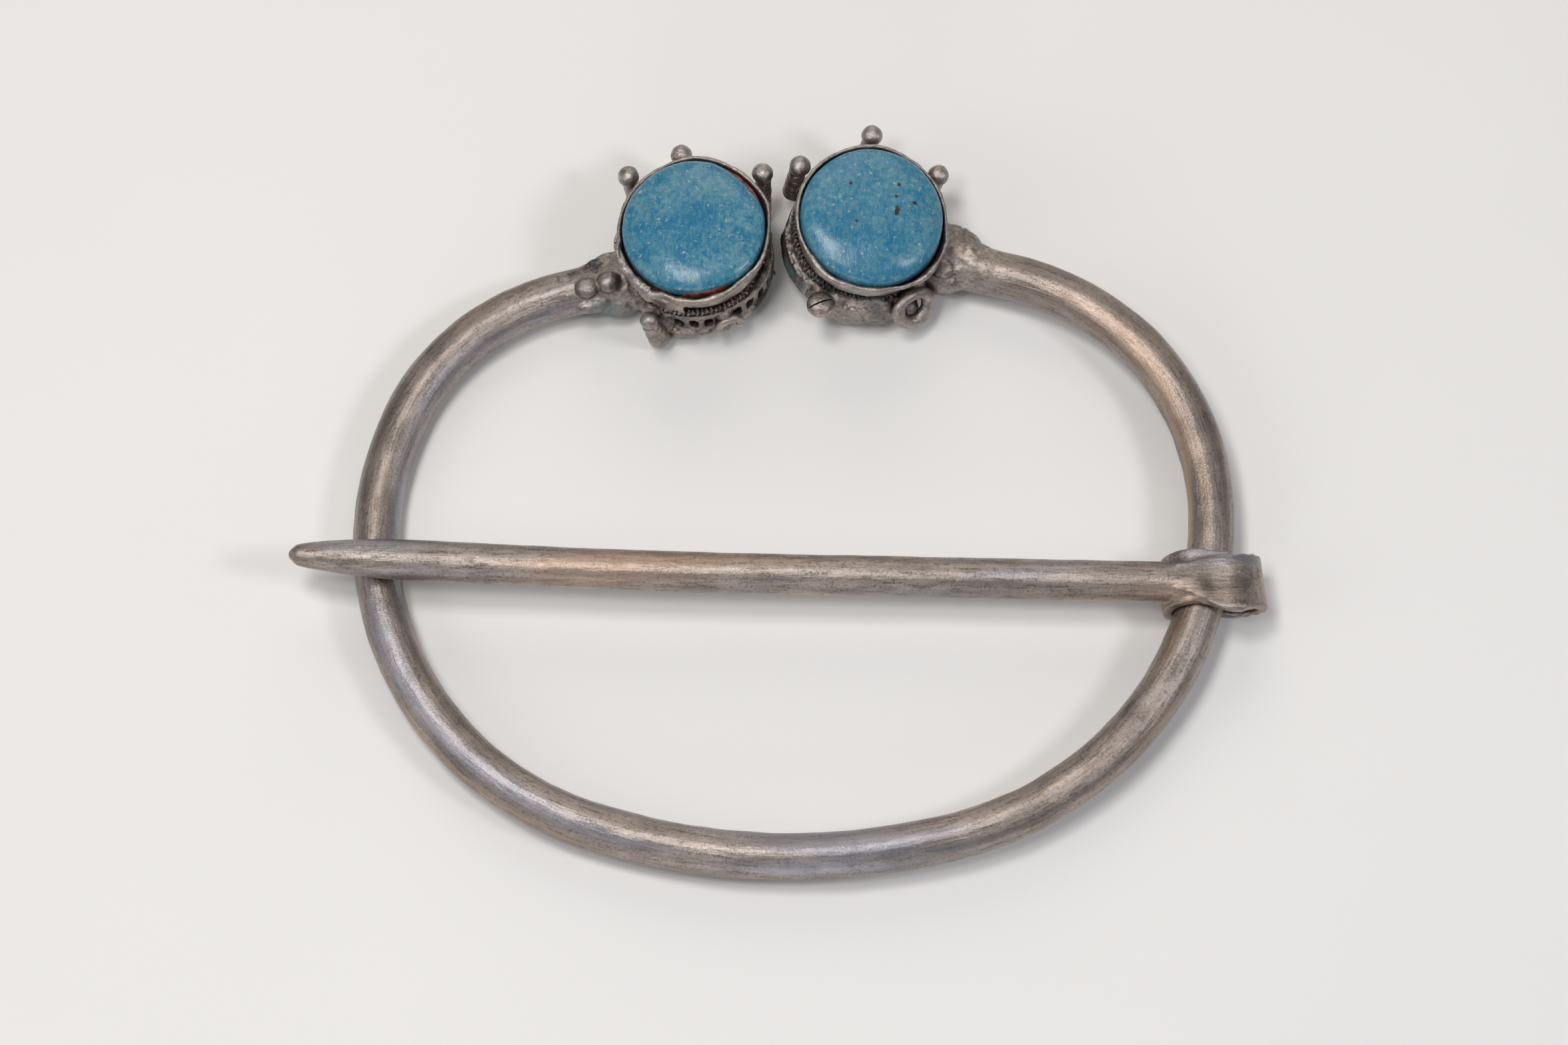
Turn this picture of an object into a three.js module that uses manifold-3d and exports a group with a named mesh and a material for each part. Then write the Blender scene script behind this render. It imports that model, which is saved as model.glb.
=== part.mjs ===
// A penannular brooch in tarnished silver: an oval hoop of round wire, open at the top between two drum terminals
// that hold domed blue stones, and a loose pin whose flattened head is wrapped round the hoop.
// It lies on its back as it does on a table: millimetres, +Z up, +X along the pin towards its head, +Y to the terminals.
// The origin is below the middle of the whole brooch, at the level it lies on.
import * as THREE from "three";
import { mergeVertices } from "three/addons/utils/BufferGeometryUtils.js";
import Module from "manifold-3d";

const wasm = await Module();
wasm.setup();

// Hoop: the centre line of its wire, in the hoop's own plane, measured from the foot of its middle line at waist level
const WIRE_RADIUS = 1.9;
const HOOP_DEPTH = 27.8;
const BOTTOM_BEND_RADIUS = 50;
const SEAT_FLARE_LENGTH = 9;
const SEAT_HALF_WIDTH = 3.45;
const SEAT_HALF_HEIGHT = 2.0;
const LONGEST_STEP = 3.0;
const WIRE_SIDES = 12;

// Each side of the hoop: its widest point, the bend above it, and the foot and lean of the terminal's axis
const LEFT = {
  name: "left",
  side: -1,
  halfWidth: 33.65,
  waist: -0.7,
  shoulderStart: 24,
  shoulderRadius: 18.45,
  terminalX: -7.65,
  terminalY: 23.25,
  leanOut: 5,
  leanBack: 3.5,
};
const RIGHT = {
  name: "right",
  side: 1,
  halfWidth: 33.7,
  waist: 0.7,
  shoulderStart: 5.5,
  shoulderRadius: 20.8,
  terminalX: 5.2,
  terminalY: 24.75,
  leanOut: 8,
  leanBack: -1.5,
};

// Pin: a round shank with a blunt point, its other end beaten flat and wrapped round the hoop
const PIN_RADIUS = 1.63;
const PIN_LENGTH = 73.25;
const POINT_LENGTH = 9.2;
const POINT_RADIUS = 0.72;
const KINK_DISTANCE = 44;
const KINK_ANGLE = 1.7;
const KINK_SOFTNESS = 6;
const PIN_YAW = 0.9;
const PIN_HEAD_Y = -5.65;
const STRAP_THICKNESS = 0.9;
const STRAP_WIDTH = 4.6;
const STRAP_UNDER_WIDTH = 3.5;
const STRAP_END_WIDTH = 5.2;
const LOOP_PLAY = 0.25;
const LOOP_SLACK = 2.2;
const CURL_RADIUS = 2.2;
const CURL_START = -1.05;
const CURL_MOUTH = 0.35;
const NECK_START = -3.3;
const NECK_END = 1.8;
const NECK_SHANK_HEIGHT = 1.55;
const PIN_REST_GAP = 0.1;

// Terminal: a stack standing on its base plate
const PLATE_RADIUS = 6.1;
const PLATE_THICKNESS = 0.6;
const GALLERY_RADIUS = 6.05;
const GALLERY_WALL = 0.65;
const GALLERY_HEIGHT = 2.75;
const GALLERY_BAYS = 16;
const OPEN_BAYS = { left: [0, 1, 2, 3, 5, 6, 7, 10, 11, 12, 13, 15], right: [0, 1, 2, 3, 5, 6, 7, 15] };
const WINDOW_WIDTH = 0.95;
const WINDOW_HEIGHT = 1.5;
const WINDOW_SILL = 0.5;
const BEZEL_RADIUS = 6.2;
const BEZEL_WALL = 0.4;
const BEZEL_HEIGHT = 3.1;
const BEZEL_FLOOR = 0.5;
const TWIST_DIAMETER = 0.8;
const TWIST_RADIUS = 5.8;
const STONE_FIT = 0.1;
const STONE_GIRDLE = 1.2;
const STONE_PROUD = 0.35;
const STONE_DOME = 1.15;
const SEAM = 0.05;
const ROUND_SIDES = 36;

// Wire-wound cones with a grain on top, stood round each terminal
const POST_FOOT_RADIUS = 1.0;
const POST_NECK_RADIUS = 0.62;
const POST_HEIGHT = 4.2;
const POST_LIFT = 0.25;
const POST_CLEARANCE = 0.1;
const GRAIN_RADIUS = 0.8;
const POST_SIDES = 10;
const POSTS = {
  left: [
    { bearing: 46, lean: 9 },
    { bearing: 98, lean: 7 },
    { bearing: 132, lean: 10 },
    { bearing: 243, lean: 8 },
  ],
  right: [
    { bearing: 39, lean: 5.5 },
    { bearing: 86, lean: 9.5 },
    { bearing: 137, lean: 1 },
  ],
};
const SPLIT_BEAD = { bearing: 241, radius: 1.1, height: 1.7, lift: 2.9 };

// What is left of the wire scrolls at the foot of each terminal
const CURL_REMNANT = { bearing: 293, radius: 0.95, wire: 0.36, sweep: 230, height: 1.6 };
const SCROLL = { bearing: 305, radius: 1.15, wire: 0.42, height: 3.2, tilt: 35 };

// Grains soldered on the seat of the hoop, by their distance from the left terminal's axis and from the wire's middle
const SEAT_GRAINS = [
  { distance: 7.9, inwards: 0.75, radius: 0.75 },
  { distance: 9.8, inwards: 0.75, radius: 0.68 },
];

const silver = new THREE.MeshStandardMaterial({ color: 0x8c8078, roughness: 0.38, metalness: 1 });
const darkSilver = new THREE.MeshStandardMaterial({ color: 0x5e544e, roughness: 0.5, metalness: 1 });
const blueStone = new THREE.MeshStandardMaterial({ color: 0x3f87a6, roughness: 0.35, metalness: 0 });
const redLac = new THREE.MeshStandardMaterial({ color: 0x7a2f22, roughness: 0.6, metalness: 0 });

const rad = THREE.MathUtils.degToRad;

// A closed skin over rings of points that run counter-clockwise about the direction of travel.
function skin(rings) {
  const sides = rings[0].length;
  const points = rings.flat();
  const index = [];
  for (let ring = 0; ring < rings.length - 1; ring++) {
    for (let side = 0; side < sides; side++) {
      const here = ring * sides + side;
      const next = ring * sides + ((side + 1) % sides);
      index.push(here, next, next + sides, here, next + sides, here + sides);
    }
  }
  [0, rings.length - 1].forEach((ring, end) => {
    const centre = new THREE.Vector3();
    rings[ring].forEach((p) => centre.addScaledVector(p, 1 / sides));
    points.push(centre);
    for (let side = 0; side < sides; side++) {
      const here = ring * sides + side;
      const next = ring * sides + ((side + 1) % sides);
      index.push(points.length - 1, end ? here : next, end ? next : here);
    }
  });
  const geometry = new THREE.BufferGeometry().setFromPoints(points);
  geometry.setIndex(index);
  return geometry;
}

// A ring round `centre` in the plane of u and v: an ellipse at squareness 2, and squarer above it.
function section(centre, u, v, halfU, halfV, squareness = 2, sides = WIRE_SIDES) {
  const bulge = (x) => Math.sign(x) * Math.abs(x) ** (2 / squareness);
  return Array.from({ length: sides }, (_, i) => {
    const angle = (i / sides) * 2 * Math.PI;
    return centre
      .clone()
      .addScaledVector(u, halfU * bulge(Math.cos(angle)))
      .addScaledVector(v, halfV * bulge(Math.sin(angle)));
  });
}

function toSolid(geometry) {
  const bare = new THREE.BufferGeometry().setAttribute("position", geometry.getAttribute("position").clone());
  bare.setIndex(geometry.index);
  const merged = mergeVertices(bare, 1e-4);
  return new wasm.Manifold(
    new wasm.Mesh({
      numProp: 3,
      vertProperties: merged.attributes.position.array,
      triVerts: new Uint32Array(merged.index.array),
    }),
  );
}

function toGeometry(solid) {
  const mesh = solid.getMesh();
  const geometry = new THREE.BufferGeometry();
  geometry.setAttribute("position", new THREE.BufferAttribute(mesh.vertProperties.slice(), 3));
  geometry.setIndex(new THREE.BufferAttribute(mesh.triVerts.slice(), 1));
  return geometry;
}

// A turned solid about Z from a profile of [radius, height] pairs, given from its foot to its top.
function turned(profile, sides = ROUND_SIDES) {
  const points = profile.map(([radius, height]) => new THREE.Vector2(radius, height));
  return new THREE.LatheGeometry(points, sides).rotateX(Math.PI / 2);
}

function part(name, geometry, material) {
  const mesh = new THREE.Mesh(geometry, material);
  mesh.name = name;
  return mesh;
}

// The bends of one side of the hoop: the side bend is tangent to the bottom bend and upright at the widest point,
// and the shoulder bend runs on from it and ends where its tangent points at the terminal's axis.
function sideBends({ side, halfWidth, waist, shoulderStart, shoulderRadius, terminalX, terminalY }) {
  const rise = BOTTOM_BEND_RADIUS - HOOP_DEPTH - waist;
  const sideRadius =
    (BOTTOM_BEND_RADIUS ** 2 - halfWidth ** 2 - rise ** 2) / (2 * (BOTTOM_BEND_RADIUS - halfWidth));
  const sideCentre = new THREE.Vector2(side * (halfWidth - sideRadius), waist);
  const start = rad(shoulderStart);
  const offset = sideRadius - shoulderRadius;
  const shoulderCentre = sideCentre
    .clone()
    .add(new THREE.Vector2(side * offset * Math.cos(start), offset * Math.sin(start)));
  const seat = new THREE.Vector2(terminalX, terminalY);
  const toSeat = seat.clone().sub(shoulderCentre);
  // angles are measured up from this side's outward direction
  const seatAngle = Math.atan2(toSeat.y, side * toSeat.x);
  const shoulderEnd = seatAngle - Math.acos(shoulderRadius / toSeat.length());
  const bottomAngle = Math.atan2(waist - (BOTTOM_BEND_RADIUS - HOOP_DEPTH), halfWidth - sideRadius);
  return { side, sideRadius, sideCentre, start, shoulderRadius, shoulderCentre, shoulderEnd, bottomAngle, seat };
}

const leftBends = sideBends(LEFT);
const rightBends = sideBends(RIGHT);

// One side's centre line from the lowest point of the hoop up to the terminal's axis.
function sidePath(bends) {
  const path = [];
  const arc = (centre, radius, from, to) => {
    const steps = Math.max(2, Math.ceil((Math.abs(to - from) * radius) / LONGEST_STEP));
    for (let i = 0; i < steps; i++) {
      const angle = from + ((to - from) * i) / steps;
      path.push(
        new THREE.Vector3(centre.x + bends.side * radius * Math.cos(angle), centre.y + radius * Math.sin(angle), 0),
      );
    }
  };
  const bottomCentre = new THREE.Vector2(0, BOTTOM_BEND_RADIUS - HOOP_DEPTH);
  arc(bottomCentre, BOTTOM_BEND_RADIUS, -Math.PI / 2, bends.bottomAngle);
  arc(bends.sideCentre, bends.sideRadius, bends.bottomAngle, bends.start);
  arc(bends.shoulderCentre, bends.shoulderRadius, bends.start, bends.shoulderEnd);
  const straightFrom = new THREE.Vector2(
    bends.shoulderCentre.x + bends.side * bends.shoulderRadius * Math.cos(bends.shoulderEnd),
    bends.shoulderCentre.y + bends.shoulderRadius * Math.sin(bends.shoulderEnd),
  );
  const steps = Math.max(2, Math.ceil(straightFrom.distanceTo(bends.seat) / (LONGEST_STEP / 2)));
  for (let i = 0; i <= steps; i++) {
    const at = straightFrom.clone().lerp(bends.seat, i / steps);
    path.push(new THREE.Vector3(at.x, at.y, 0));
  }
  return path;
}

function hoopWire() {
  const left = sidePath(leftBends).reverse();
  const path = [...left, ...sidePath(rightBends).slice(1)];
  const up = new THREE.Vector3(0, 0, 1);
  const seats = [path[0], path[path.length - 1]];
  const rings = path.map((at, i) => {
    const before = path[Math.max(0, i - 1)];
    const after = path[Math.min(path.length - 1, i + 1)];
    const tangent = after.clone().sub(before).normalize();
    const across = up.clone().cross(tangent);
    // the wire swells towards the drum, where the solder fills it out
    const fromDrum = Math.min(...seats.map((seat) => seat.distanceTo(at))) - GALLERY_RADIUS;
    const flare = THREE.MathUtils.clamp(1 - fromDrum / SEAT_FLARE_LENGTH, 0, 1) ** 2;
    const halfWidth = THREE.MathUtils.lerp(WIRE_RADIUS, SEAT_HALF_WIDTH, flare);
    const halfHeight = THREE.MathUtils.lerp(WIRE_RADIUS, SEAT_HALF_HEIGHT, flare);
    return section(at, across, up, halfWidth, halfHeight);
  });
  let hoop = toSolid(skin(rings));
  const along = path[1].clone().sub(path[0]).normalize();
  const inward = up.clone().cross(along);
  for (const { distance, inwards, radius } of SEAT_GRAINS) {
    const grain = new THREE.SphereGeometry(radius, POST_SIDES, POST_SIDES - 2).rotateX(Math.PI / 2);
    const at = path[0].clone().addScaledVector(along, distance).addScaledVector(inward, inwards);
    grain.translate(at.x, at.y, WIRE_RADIUS + radius / 3);
    hoop = hoop.add(toSolid(grain));
  }
  return hoop;
}

// The pin's stations from its point to the end of the wrapped strap, in the plane across the hoop's wire.
// Each is [x, z, half width, half thickness, squareness].
function pinStations() {
  const lap = WIRE_RADIUS + LOOP_PLAY + STRAP_THICKNESS / 2;
  const farWire = headX + farSideX();
  const restRadius = shankRadius(PIN_LENGTH - farWire);
  const restHeight = WIRE_RADIUS + restRadius + PIN_REST_GAP;
  const slope = (restHeight - NECK_SHANK_HEIGHT) / (farWire + NECK_START);
  const shankHeight = (x) => NECK_SHANK_HEIGHT + (NECK_START - x) * slope;
  const stations = [];
  const shank = (fromPoint) => {
    const x = fromPoint - PIN_LENGTH;
    const radius = shankRadius(fromPoint);
    stations.push([x, shankHeight(x), radius, radius, 2]);
  };
  const pointSteps = [0, 0.12, 0.45, 1, 2, 3.4, 5.2, 7.2];
  pointSteps.forEach((step) => shank((step * POINT_LENGTH) / 9.2));
  const shankSteps = 12;
  const shankSpan = PIN_LENGTH + NECK_START - POINT_LENGTH;
  for (let i = 0; i <= shankSteps; i++) shank(POINT_LENGTH + (shankSpan * i) / shankSteps);
  // over the wire, which crosses it on the skew, the shank thins from below and widens into the strap
  const bore = WIRE_RADIUS + LOOP_PLAY;
  const skew = Math.abs(headAngle) + rad(PIN_YAW);
  const reach = WIRE_RADIUS / Math.cos(skew) + (STRAP_WIDTH / 2) * Math.tan(skew) + LOOP_PLAY;
  const neckSteps = 8;
  for (let i = 1; i <= neckSteps; i++) {
    const share = THREE.MathUtils.smoothstep(i / neckSteps, 0, 1);
    const x = THREE.MathUtils.lerp(NECK_START, NECK_END, i / neckSteps);
    const top = THREE.MathUtils.lerp(shankHeight(x) + PIN_RADIUS, lap + STRAP_THICKNESS / 2, share);
    const overWire = bore * Math.sqrt(Math.max(0, 1 - (Math.min(x, 0) / reach) ** 2));
    const underside = Math.max(shankHeight(NECK_START) - PIN_RADIUS, overWire);
    stations.push([
      x,
      (top + underside) / 2,
      THREE.MathUtils.lerp(PIN_RADIUS, STRAP_WIDTH / 2, share),
      (top - underside) / 2,
      THREE.MathUtils.lerp(2, 4, share),
    ]);
  }
  const bendSteps = 10;
  for (let i = 0; i <= bendSteps; i++) {
    const angle = Math.PI / 2 - (Math.PI * i) / bendSteps;
    stations.push([
      LOOP_SLACK + lap * Math.cos(angle),
      lap * Math.sin(angle),
      THREE.MathUtils.lerp(STRAP_WIDTH, STRAP_UNDER_WIDTH, i / bendSteps) / 2,
      STRAP_THICKNESS / 2,
      4,
    ]);
  }
  const curlCentreZ = CURL_RADIUS - lap;
  const curlEndZ = NECK_SHANK_HEIGHT - PIN_RADIUS - CURL_MOUTH;
  const curlSweep = Math.acos(THREE.MathUtils.clamp((curlCentreZ - curlEndZ) / CURL_RADIUS, -1, 1));
  const curlSteps = 6;
  for (let i = 0; i <= curlSteps; i++) {
    const angle = (curlSweep * i) / curlSteps;
    stations.push([
      CURL_START - CURL_RADIUS * Math.sin(angle),
      curlCentreZ - CURL_RADIUS * Math.cos(angle),
      THREE.MathUtils.lerp(STRAP_UNDER_WIDTH, STRAP_END_WIDTH, i / curlSteps) / 2,
      STRAP_THICKNESS / 2,
      4,
    ]);
  }
  return stations;
}

// The shank's radius at a distance from the tip of the point: a rounded nose, then a long swelling taper.
function shankRadius(fromPoint) {
  const nose = Math.sqrt(Math.min(1, (fromPoint + POINT_LENGTH / 500) / POINT_RADIUS));
  const taper = 1 - (1 - Math.min(1, fromPoint / POINT_LENGTH)) ** 2;
  return nose * THREE.MathUtils.lerp(POINT_RADIUS, PIN_RADIUS, taper);
}

// How far out the hoop's centre line lies on the far side, at the height of the pin's head.
function farSideX() {
  return -leftBends.sideCentre.x + Math.sqrt(leftBends.sideRadius ** 2 - (PIN_HEAD_Y - leftBends.sideCentre.y) ** 2);
}

// The head hangs on the right side bend of the hoop.
const headAngle = Math.asin((PIN_HEAD_Y - rightBends.sideCentre.y) / rightBends.sideRadius);
const headX = rightBends.sideCentre.x + rightBends.sideRadius * Math.cos(headAngle);

function pinBody() {
  const stations = pinStations();
  const width = new THREE.Vector3(0, 1, 0);
  // beyond the kink the shank swings gently aside
  const aside = (x) => {
    const past = -x - KINK_DISTANCE;
    return (Math.tan(rad(KINK_ANGLE)) * (Math.hypot(past, KINK_SOFTNESS) + past)) / 2;
  };
  const rings = stations.map(([x, z, halfWidth, halfThickness, squareness], i) => {
    const before = stations[Math.max(0, i - 1)];
    const after = stations[Math.min(stations.length - 1, i + 1)];
    const tangent = new THREE.Vector3(after[0] - before[0], 0, after[1] - before[1]).normalize();
    const thickness = tangent.clone().cross(width);
    return section(new THREE.Vector3(x, aside(x), z), width, thickness, halfWidth, halfThickness, squareness);
  });
  return skin(rings);
}

// Heights of the terminal's layers above the underside of its plate
const GALLERY_FOOT = PLATE_THICKNESS + SEAM;
const GALLERY_TOP = GALLERY_FOOT + GALLERY_HEIGHT;
const TWIST_HEIGHT = GALLERY_TOP + SEAM + TWIST_DIAMETER / 2;
const TWIST_OUTER_RADIUS = TWIST_RADIUS + TWIST_DIAMETER / 2;
const CUP_FOOT = TWIST_HEIGHT + TWIST_DIAMETER / 2 + SEAM;
const RIM = CUP_FOOT + BEZEL_HEIGHT;
const CUP_FLOOR = CUP_FOOT + BEZEL_FLOOR;
const STONE_RADIUS = BEZEL_RADIUS - BEZEL_WALL - STONE_FIT;
const GIRDLE_TOP = RIM + STONE_PROUD;
const STONE_FOOT = GIRDLE_TOP - STONE_GIRDLE;
const DRUM_RADIUS = Math.max(PLATE_RADIUS, GALLERY_RADIUS, TWIST_OUTER_RADIUS, BEZEL_RADIUS);

function basePlate() {
  return turned([
    [0, 0],
    [PLATE_RADIUS, 0],
    [PLATE_RADIUS, PLATE_THICKNESS],
    [0, PLATE_THICKNESS],
  ]);
}

// An openwork drum wall divided into bays, with a round-headed window in each bay that solder hasn't filled.
function gallery(openBays) {
  const inner = GALLERY_RADIUS - GALLERY_WALL;
  let wall = toSolid(
    turned([
      [inner, GALLERY_FOOT],
      [GALLERY_RADIUS, GALLERY_FOOT],
      [GALLERY_RADIUS, GALLERY_TOP],
      [inner, GALLERY_TOP],
      [inner, GALLERY_FOOT],
    ]),
  );
  const outline = new THREE.Shape();
  const half = WINDOW_WIDTH / 2;
  outline.moveTo(-half, 0);
  outline.lineTo(half, 0);
  outline.lineTo(half, WINDOW_HEIGHT - half);
  outline.absarc(0, WINDOW_HEIGHT - half, half, 0, Math.PI);
  const depth = GALLERY_WALL * 3;
  for (const bay of openBays) {
    const window = new THREE.ExtrudeGeometry(outline, { depth, bevelEnabled: false, curveSegments: 4 });
    window.rotateX(Math.PI / 2);
    window.translate(0, GALLERY_RADIUS - GALLERY_WALL / 2 + depth / 2, GALLERY_FOOT + WINDOW_SILL);
    window.rotateZ(((bay + 0.5) / GALLERY_BAYS) * 2 * Math.PI - Math.PI / 2);
    wall = wall.subtract(toSolid(window));
  }
  return toGeometry(wall);
}

function bezelCup() {
  const inner = BEZEL_RADIUS - BEZEL_WALL;
  const lip = BEZEL_WALL / 3;
  return turned([
    [0, CUP_FOOT],
    [BEZEL_RADIUS, CUP_FOOT],
    [BEZEL_RADIUS, RIM - lip],
    [BEZEL_RADIUS - lip, RIM],
    [inner, RIM],
    [inner, CUP_FLOOR],
    [0, CUP_FLOOR],
  ]);
}

function twistedWire() {
  const wire = new THREE.TorusGeometry(TWIST_RADIUS, TWIST_DIAMETER / 2, 8, ROUND_SIDES);
  return wire.translate(0, 0, TWIST_HEIGHT);
}

function lacBed() {
  return turned([
    [0, CUP_FLOOR + SEAM],
    [STONE_RADIUS, CUP_FLOOR + SEAM],
    [STONE_RADIUS, STONE_FOOT - SEAM],
    [0, STONE_FOOT - SEAM],
  ]);
}

// A low cushion: an upright girdle, a round shoulder and a nearly flat crown.
function stone() {
  const crown = [0, 0.2, 0.42, 0.64, 0.82, 0.94, 1];
  const profile = crown.map((share) => [
    STONE_RADIUS * Math.sqrt(1 - share ** 2),
    GIRDLE_TOP + STONE_DOME * share,
  ]);
  return turned([[0, STONE_FOOT], [STONE_RADIUS, STONE_FOOT], ...profile]);
}

function post() {
  const top = POST_HEIGHT + GRAIN_RADIUS;
  const grain = [-0.55, 0, 0.5, 0.85].map((share) => [
    GRAIN_RADIUS * Math.sqrt(1 - share ** 2),
    top + GRAIN_RADIUS * share,
  ]);
  return turned(
    [[0, 0], [POST_FOOT_RADIUS, 0], [POST_NECK_RADIUS, POST_HEIGHT], ...grain, [0, top + GRAIN_RADIUS]],
    POST_SIDES,
  );
}

function splitBead() {
  const { radius, height } = SPLIT_BEAD;
  const shoulder = 0.72;
  const profile = [
    [0, 0],
    [radius * shoulder, 0],
    [radius, height / 4],
    [radius, height / 2],
    [radius * shoulder, height * 0.85],
    [0, height],
  ];
  return turned(profile, POST_SIDES);
}

// A round wire bent into part of a circle that stands upright, facing away from the drum.
function wireArc(radius, wire, sweep) {
  const steps = 12;
  const out = new THREE.Vector3(0, 1, 0);
  const rings = Array.from({ length: steps + 1 }, (_, i) => {
    const angle = rad((sweep * i) / steps - (sweep - 180) / 2);
    const spoke = new THREE.Vector3(Math.cos(angle), 0, Math.sin(angle));
    return section(spoke.clone().multiplyScalar(radius), spoke, out, wire, wire, 2, 8);
  });
  return skin(rings);
}

// A closed ring of round wire, facing away from the drum, or the room it takes with a clearance round its wire.
function scrollRing(clearance) {
  return new THREE.TorusGeometry(SCROLL.radius, SCROLL.wire + clearance, 8, 16).rotateX(Math.PI / 2);
}

// Stands a piece beside the drum, at a bearing from the terminal's axis, with its local +Y pointing away from it.
function beside(mesh, bearing, distance, lift, lean = 0) {
  const turn = rad(bearing);
  mesh.position.set(distance * Math.cos(turn), distance * Math.sin(turn), lift);
  mesh.rotation.set(-rad(lean), 0, turn - Math.PI / 2, "ZYX");
  return mesh;
}

function terminal(sideOfHoop) {
  const { name, side, terminalX, terminalY, leanOut, leanBack } = sideOfHoop;
  const group = new THREE.Group();
  group.rotation.set(-rad(leanBack), side * rad(leanOut), 0);
  const axis = new THREE.Vector3(0, 0, 1).applyEuler(group.rotation);
  // the lowest point of the plate's underside touches the table
  group.position.set(terminalX, terminalY, PLATE_RADIUS * Math.hypot(axis.x, axis.y));
  group.add(
    part(`${name}_base_plate`, basePlate(), silver),
    part(`${name}_gallery`, gallery(OPEN_BAYS[name]), darkSilver),
    part(`${name}_bezel_cup`, bezelCup(), silver),
    part(`${name}_twisted_wire`, twistedWire(), silver),
    part(`${name}_lac_bed`, lacBed(), redLac),
    part(`${name}_stone`, stone(), blueStone),
  );
  POSTS[name].forEach(({ bearing, lean }, i) => {
    const mesh = part(`${name}_grain_post_${i + 1}`, post(), silver);
    group.add(beside(mesh, bearing, DRUM_RADIUS + POST_CLEARANCE + POST_FOOT_RADIUS, POST_LIFT, lean));
  });
  return group;
}

// The room that a terminal's drum takes, with the seam round it, as a solid in the terminal's own frame.
function drumRoom() {
  const below = -2 * WIRE_RADIUS;
  return turned([
    [0, below],
    [DRUM_RADIUS + SEAM, below],
    [DRUM_RADIUS + SEAM, RIM],
    [0, RIM],
  ]);
}

// The hoop lies with its left side on the table and its right side raised by the strap that passes under it.
const hoopTilt = Math.asin((LOOP_PLAY + STRAP_THICKNESS) / (headX + LEFT.halfWidth));
const hoopFrame = new THREE.Group();
hoopFrame.rotation.y = -hoopTilt;
hoopFrame.position.z = WIRE_RADIUS + LEFT.halfWidth * Math.sin(hoopTilt);

const leftTerminal = terminal(LEFT);
const rightTerminal = terminal(RIGHT);
leftTerminal.add(
  beside(
    part("left_curl", wireArc(CURL_REMNANT.radius, CURL_REMNANT.wire, CURL_REMNANT.sweep), silver),
    CURL_REMNANT.bearing,
    DRUM_RADIUS + SEAM + CURL_REMNANT.wire,
    CURL_REMNANT.height,
  ),
);
rightTerminal.add(
  beside(
    part("right_scroll", scrollRing(0), silver),
    SCROLL.bearing,
    DRUM_RADIUS + SEAM + SCROLL.wire + SCROLL.radius * Math.sin(rad(SCROLL.tilt)),
    SCROLL.height,
    -SCROLL.tilt,
  ),
  beside(
    part("right_split_bead", splitBead(), silver),
    SPLIT_BEAD.bearing,
    DRUM_RADIUS + SEAM + SPLIT_BEAD.radius,
    SPLIT_BEAD.lift,
  ),
);

// The hoop's ends are filed to sit against the drums, and the solder of the right one leaves room for the scroll.
[hoopFrame, leftTerminal, rightTerminal].forEach((group) => group.updateMatrixWorld());
const scroll = rightTerminal.children.find((child) => child.name === "right_scroll");
const rooms = [
  drumRoom().applyMatrix4(leftTerminal.matrixWorld),
  drumRoom().applyMatrix4(rightTerminal.matrixWorld),
  scrollRing(SEAM).applyMatrix4(scroll.matrixWorld),
];
let filedHoop = hoopWire();
for (const room of rooms) {
  filedHoop = filedHoop.subtract(toSolid(room.applyMatrix4(hoopFrame.matrixWorld.clone().invert())));
}
hoopFrame.add(part("hoop", toGeometry(filedHoop), silver));

// The pin turns about the hoop's wire: its hinge frame has +Y along the wire where the head hangs.
const hinge = new THREE.Group();
hinge.position.set(headX, PIN_HEAD_Y, 0);
hinge.rotation.z = headAngle;
const pin = part("pin", pinBody(), silver);
pin.rotation.z = -rad(PIN_YAW) - headAngle;
hinge.add(pin);
hoopFrame.add(hinge);

const brooch = new THREE.Group();
brooch.add(hoopFrame, leftTerminal, rightTerminal);

// The whole brooch is moved so that the origin lies under its middle, at its lowest point.
const bounds = new THREE.Box3().setFromObject(brooch, true);
const middle = bounds.getCenter(new THREE.Vector3());
brooch.children.forEach((child) => child.position.sub(new THREE.Vector3(middle.x, middle.y, bounds.min.z)));

export default brooch;
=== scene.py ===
"""A worn silver penannular brooch with two blue stones, dressed over its solids and lit on a pale table.

Sizes are in millimetres in the fields of the classes and in metres in the meshes. The hoop, the pin and the two
terminals are made in frames of their own and then set in the place that their solids have.
"""

import logging
import math
import random
from collections.abc import Callable, Iterator
from contextlib import contextmanager
from dataclasses import dataclass, field
from enum import Enum

import bmesh
import bpy
import numpy as np
from mathutils import Matrix, Vector

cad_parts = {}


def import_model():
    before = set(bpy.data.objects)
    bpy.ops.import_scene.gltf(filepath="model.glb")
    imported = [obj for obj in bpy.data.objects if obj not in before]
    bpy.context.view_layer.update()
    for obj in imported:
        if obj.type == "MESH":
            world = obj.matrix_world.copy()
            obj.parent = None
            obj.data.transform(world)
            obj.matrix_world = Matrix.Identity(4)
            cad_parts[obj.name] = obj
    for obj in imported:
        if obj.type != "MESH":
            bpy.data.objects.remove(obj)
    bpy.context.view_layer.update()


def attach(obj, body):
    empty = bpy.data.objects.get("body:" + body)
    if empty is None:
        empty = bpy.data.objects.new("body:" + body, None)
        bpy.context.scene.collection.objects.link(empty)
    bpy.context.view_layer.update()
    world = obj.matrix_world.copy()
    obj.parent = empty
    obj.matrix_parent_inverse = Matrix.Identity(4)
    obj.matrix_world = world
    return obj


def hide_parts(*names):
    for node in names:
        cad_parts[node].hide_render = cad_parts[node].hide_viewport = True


MM = 0.001

DOUBLES = 0.002  # vertices closer than this, in millimetres, become one

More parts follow.
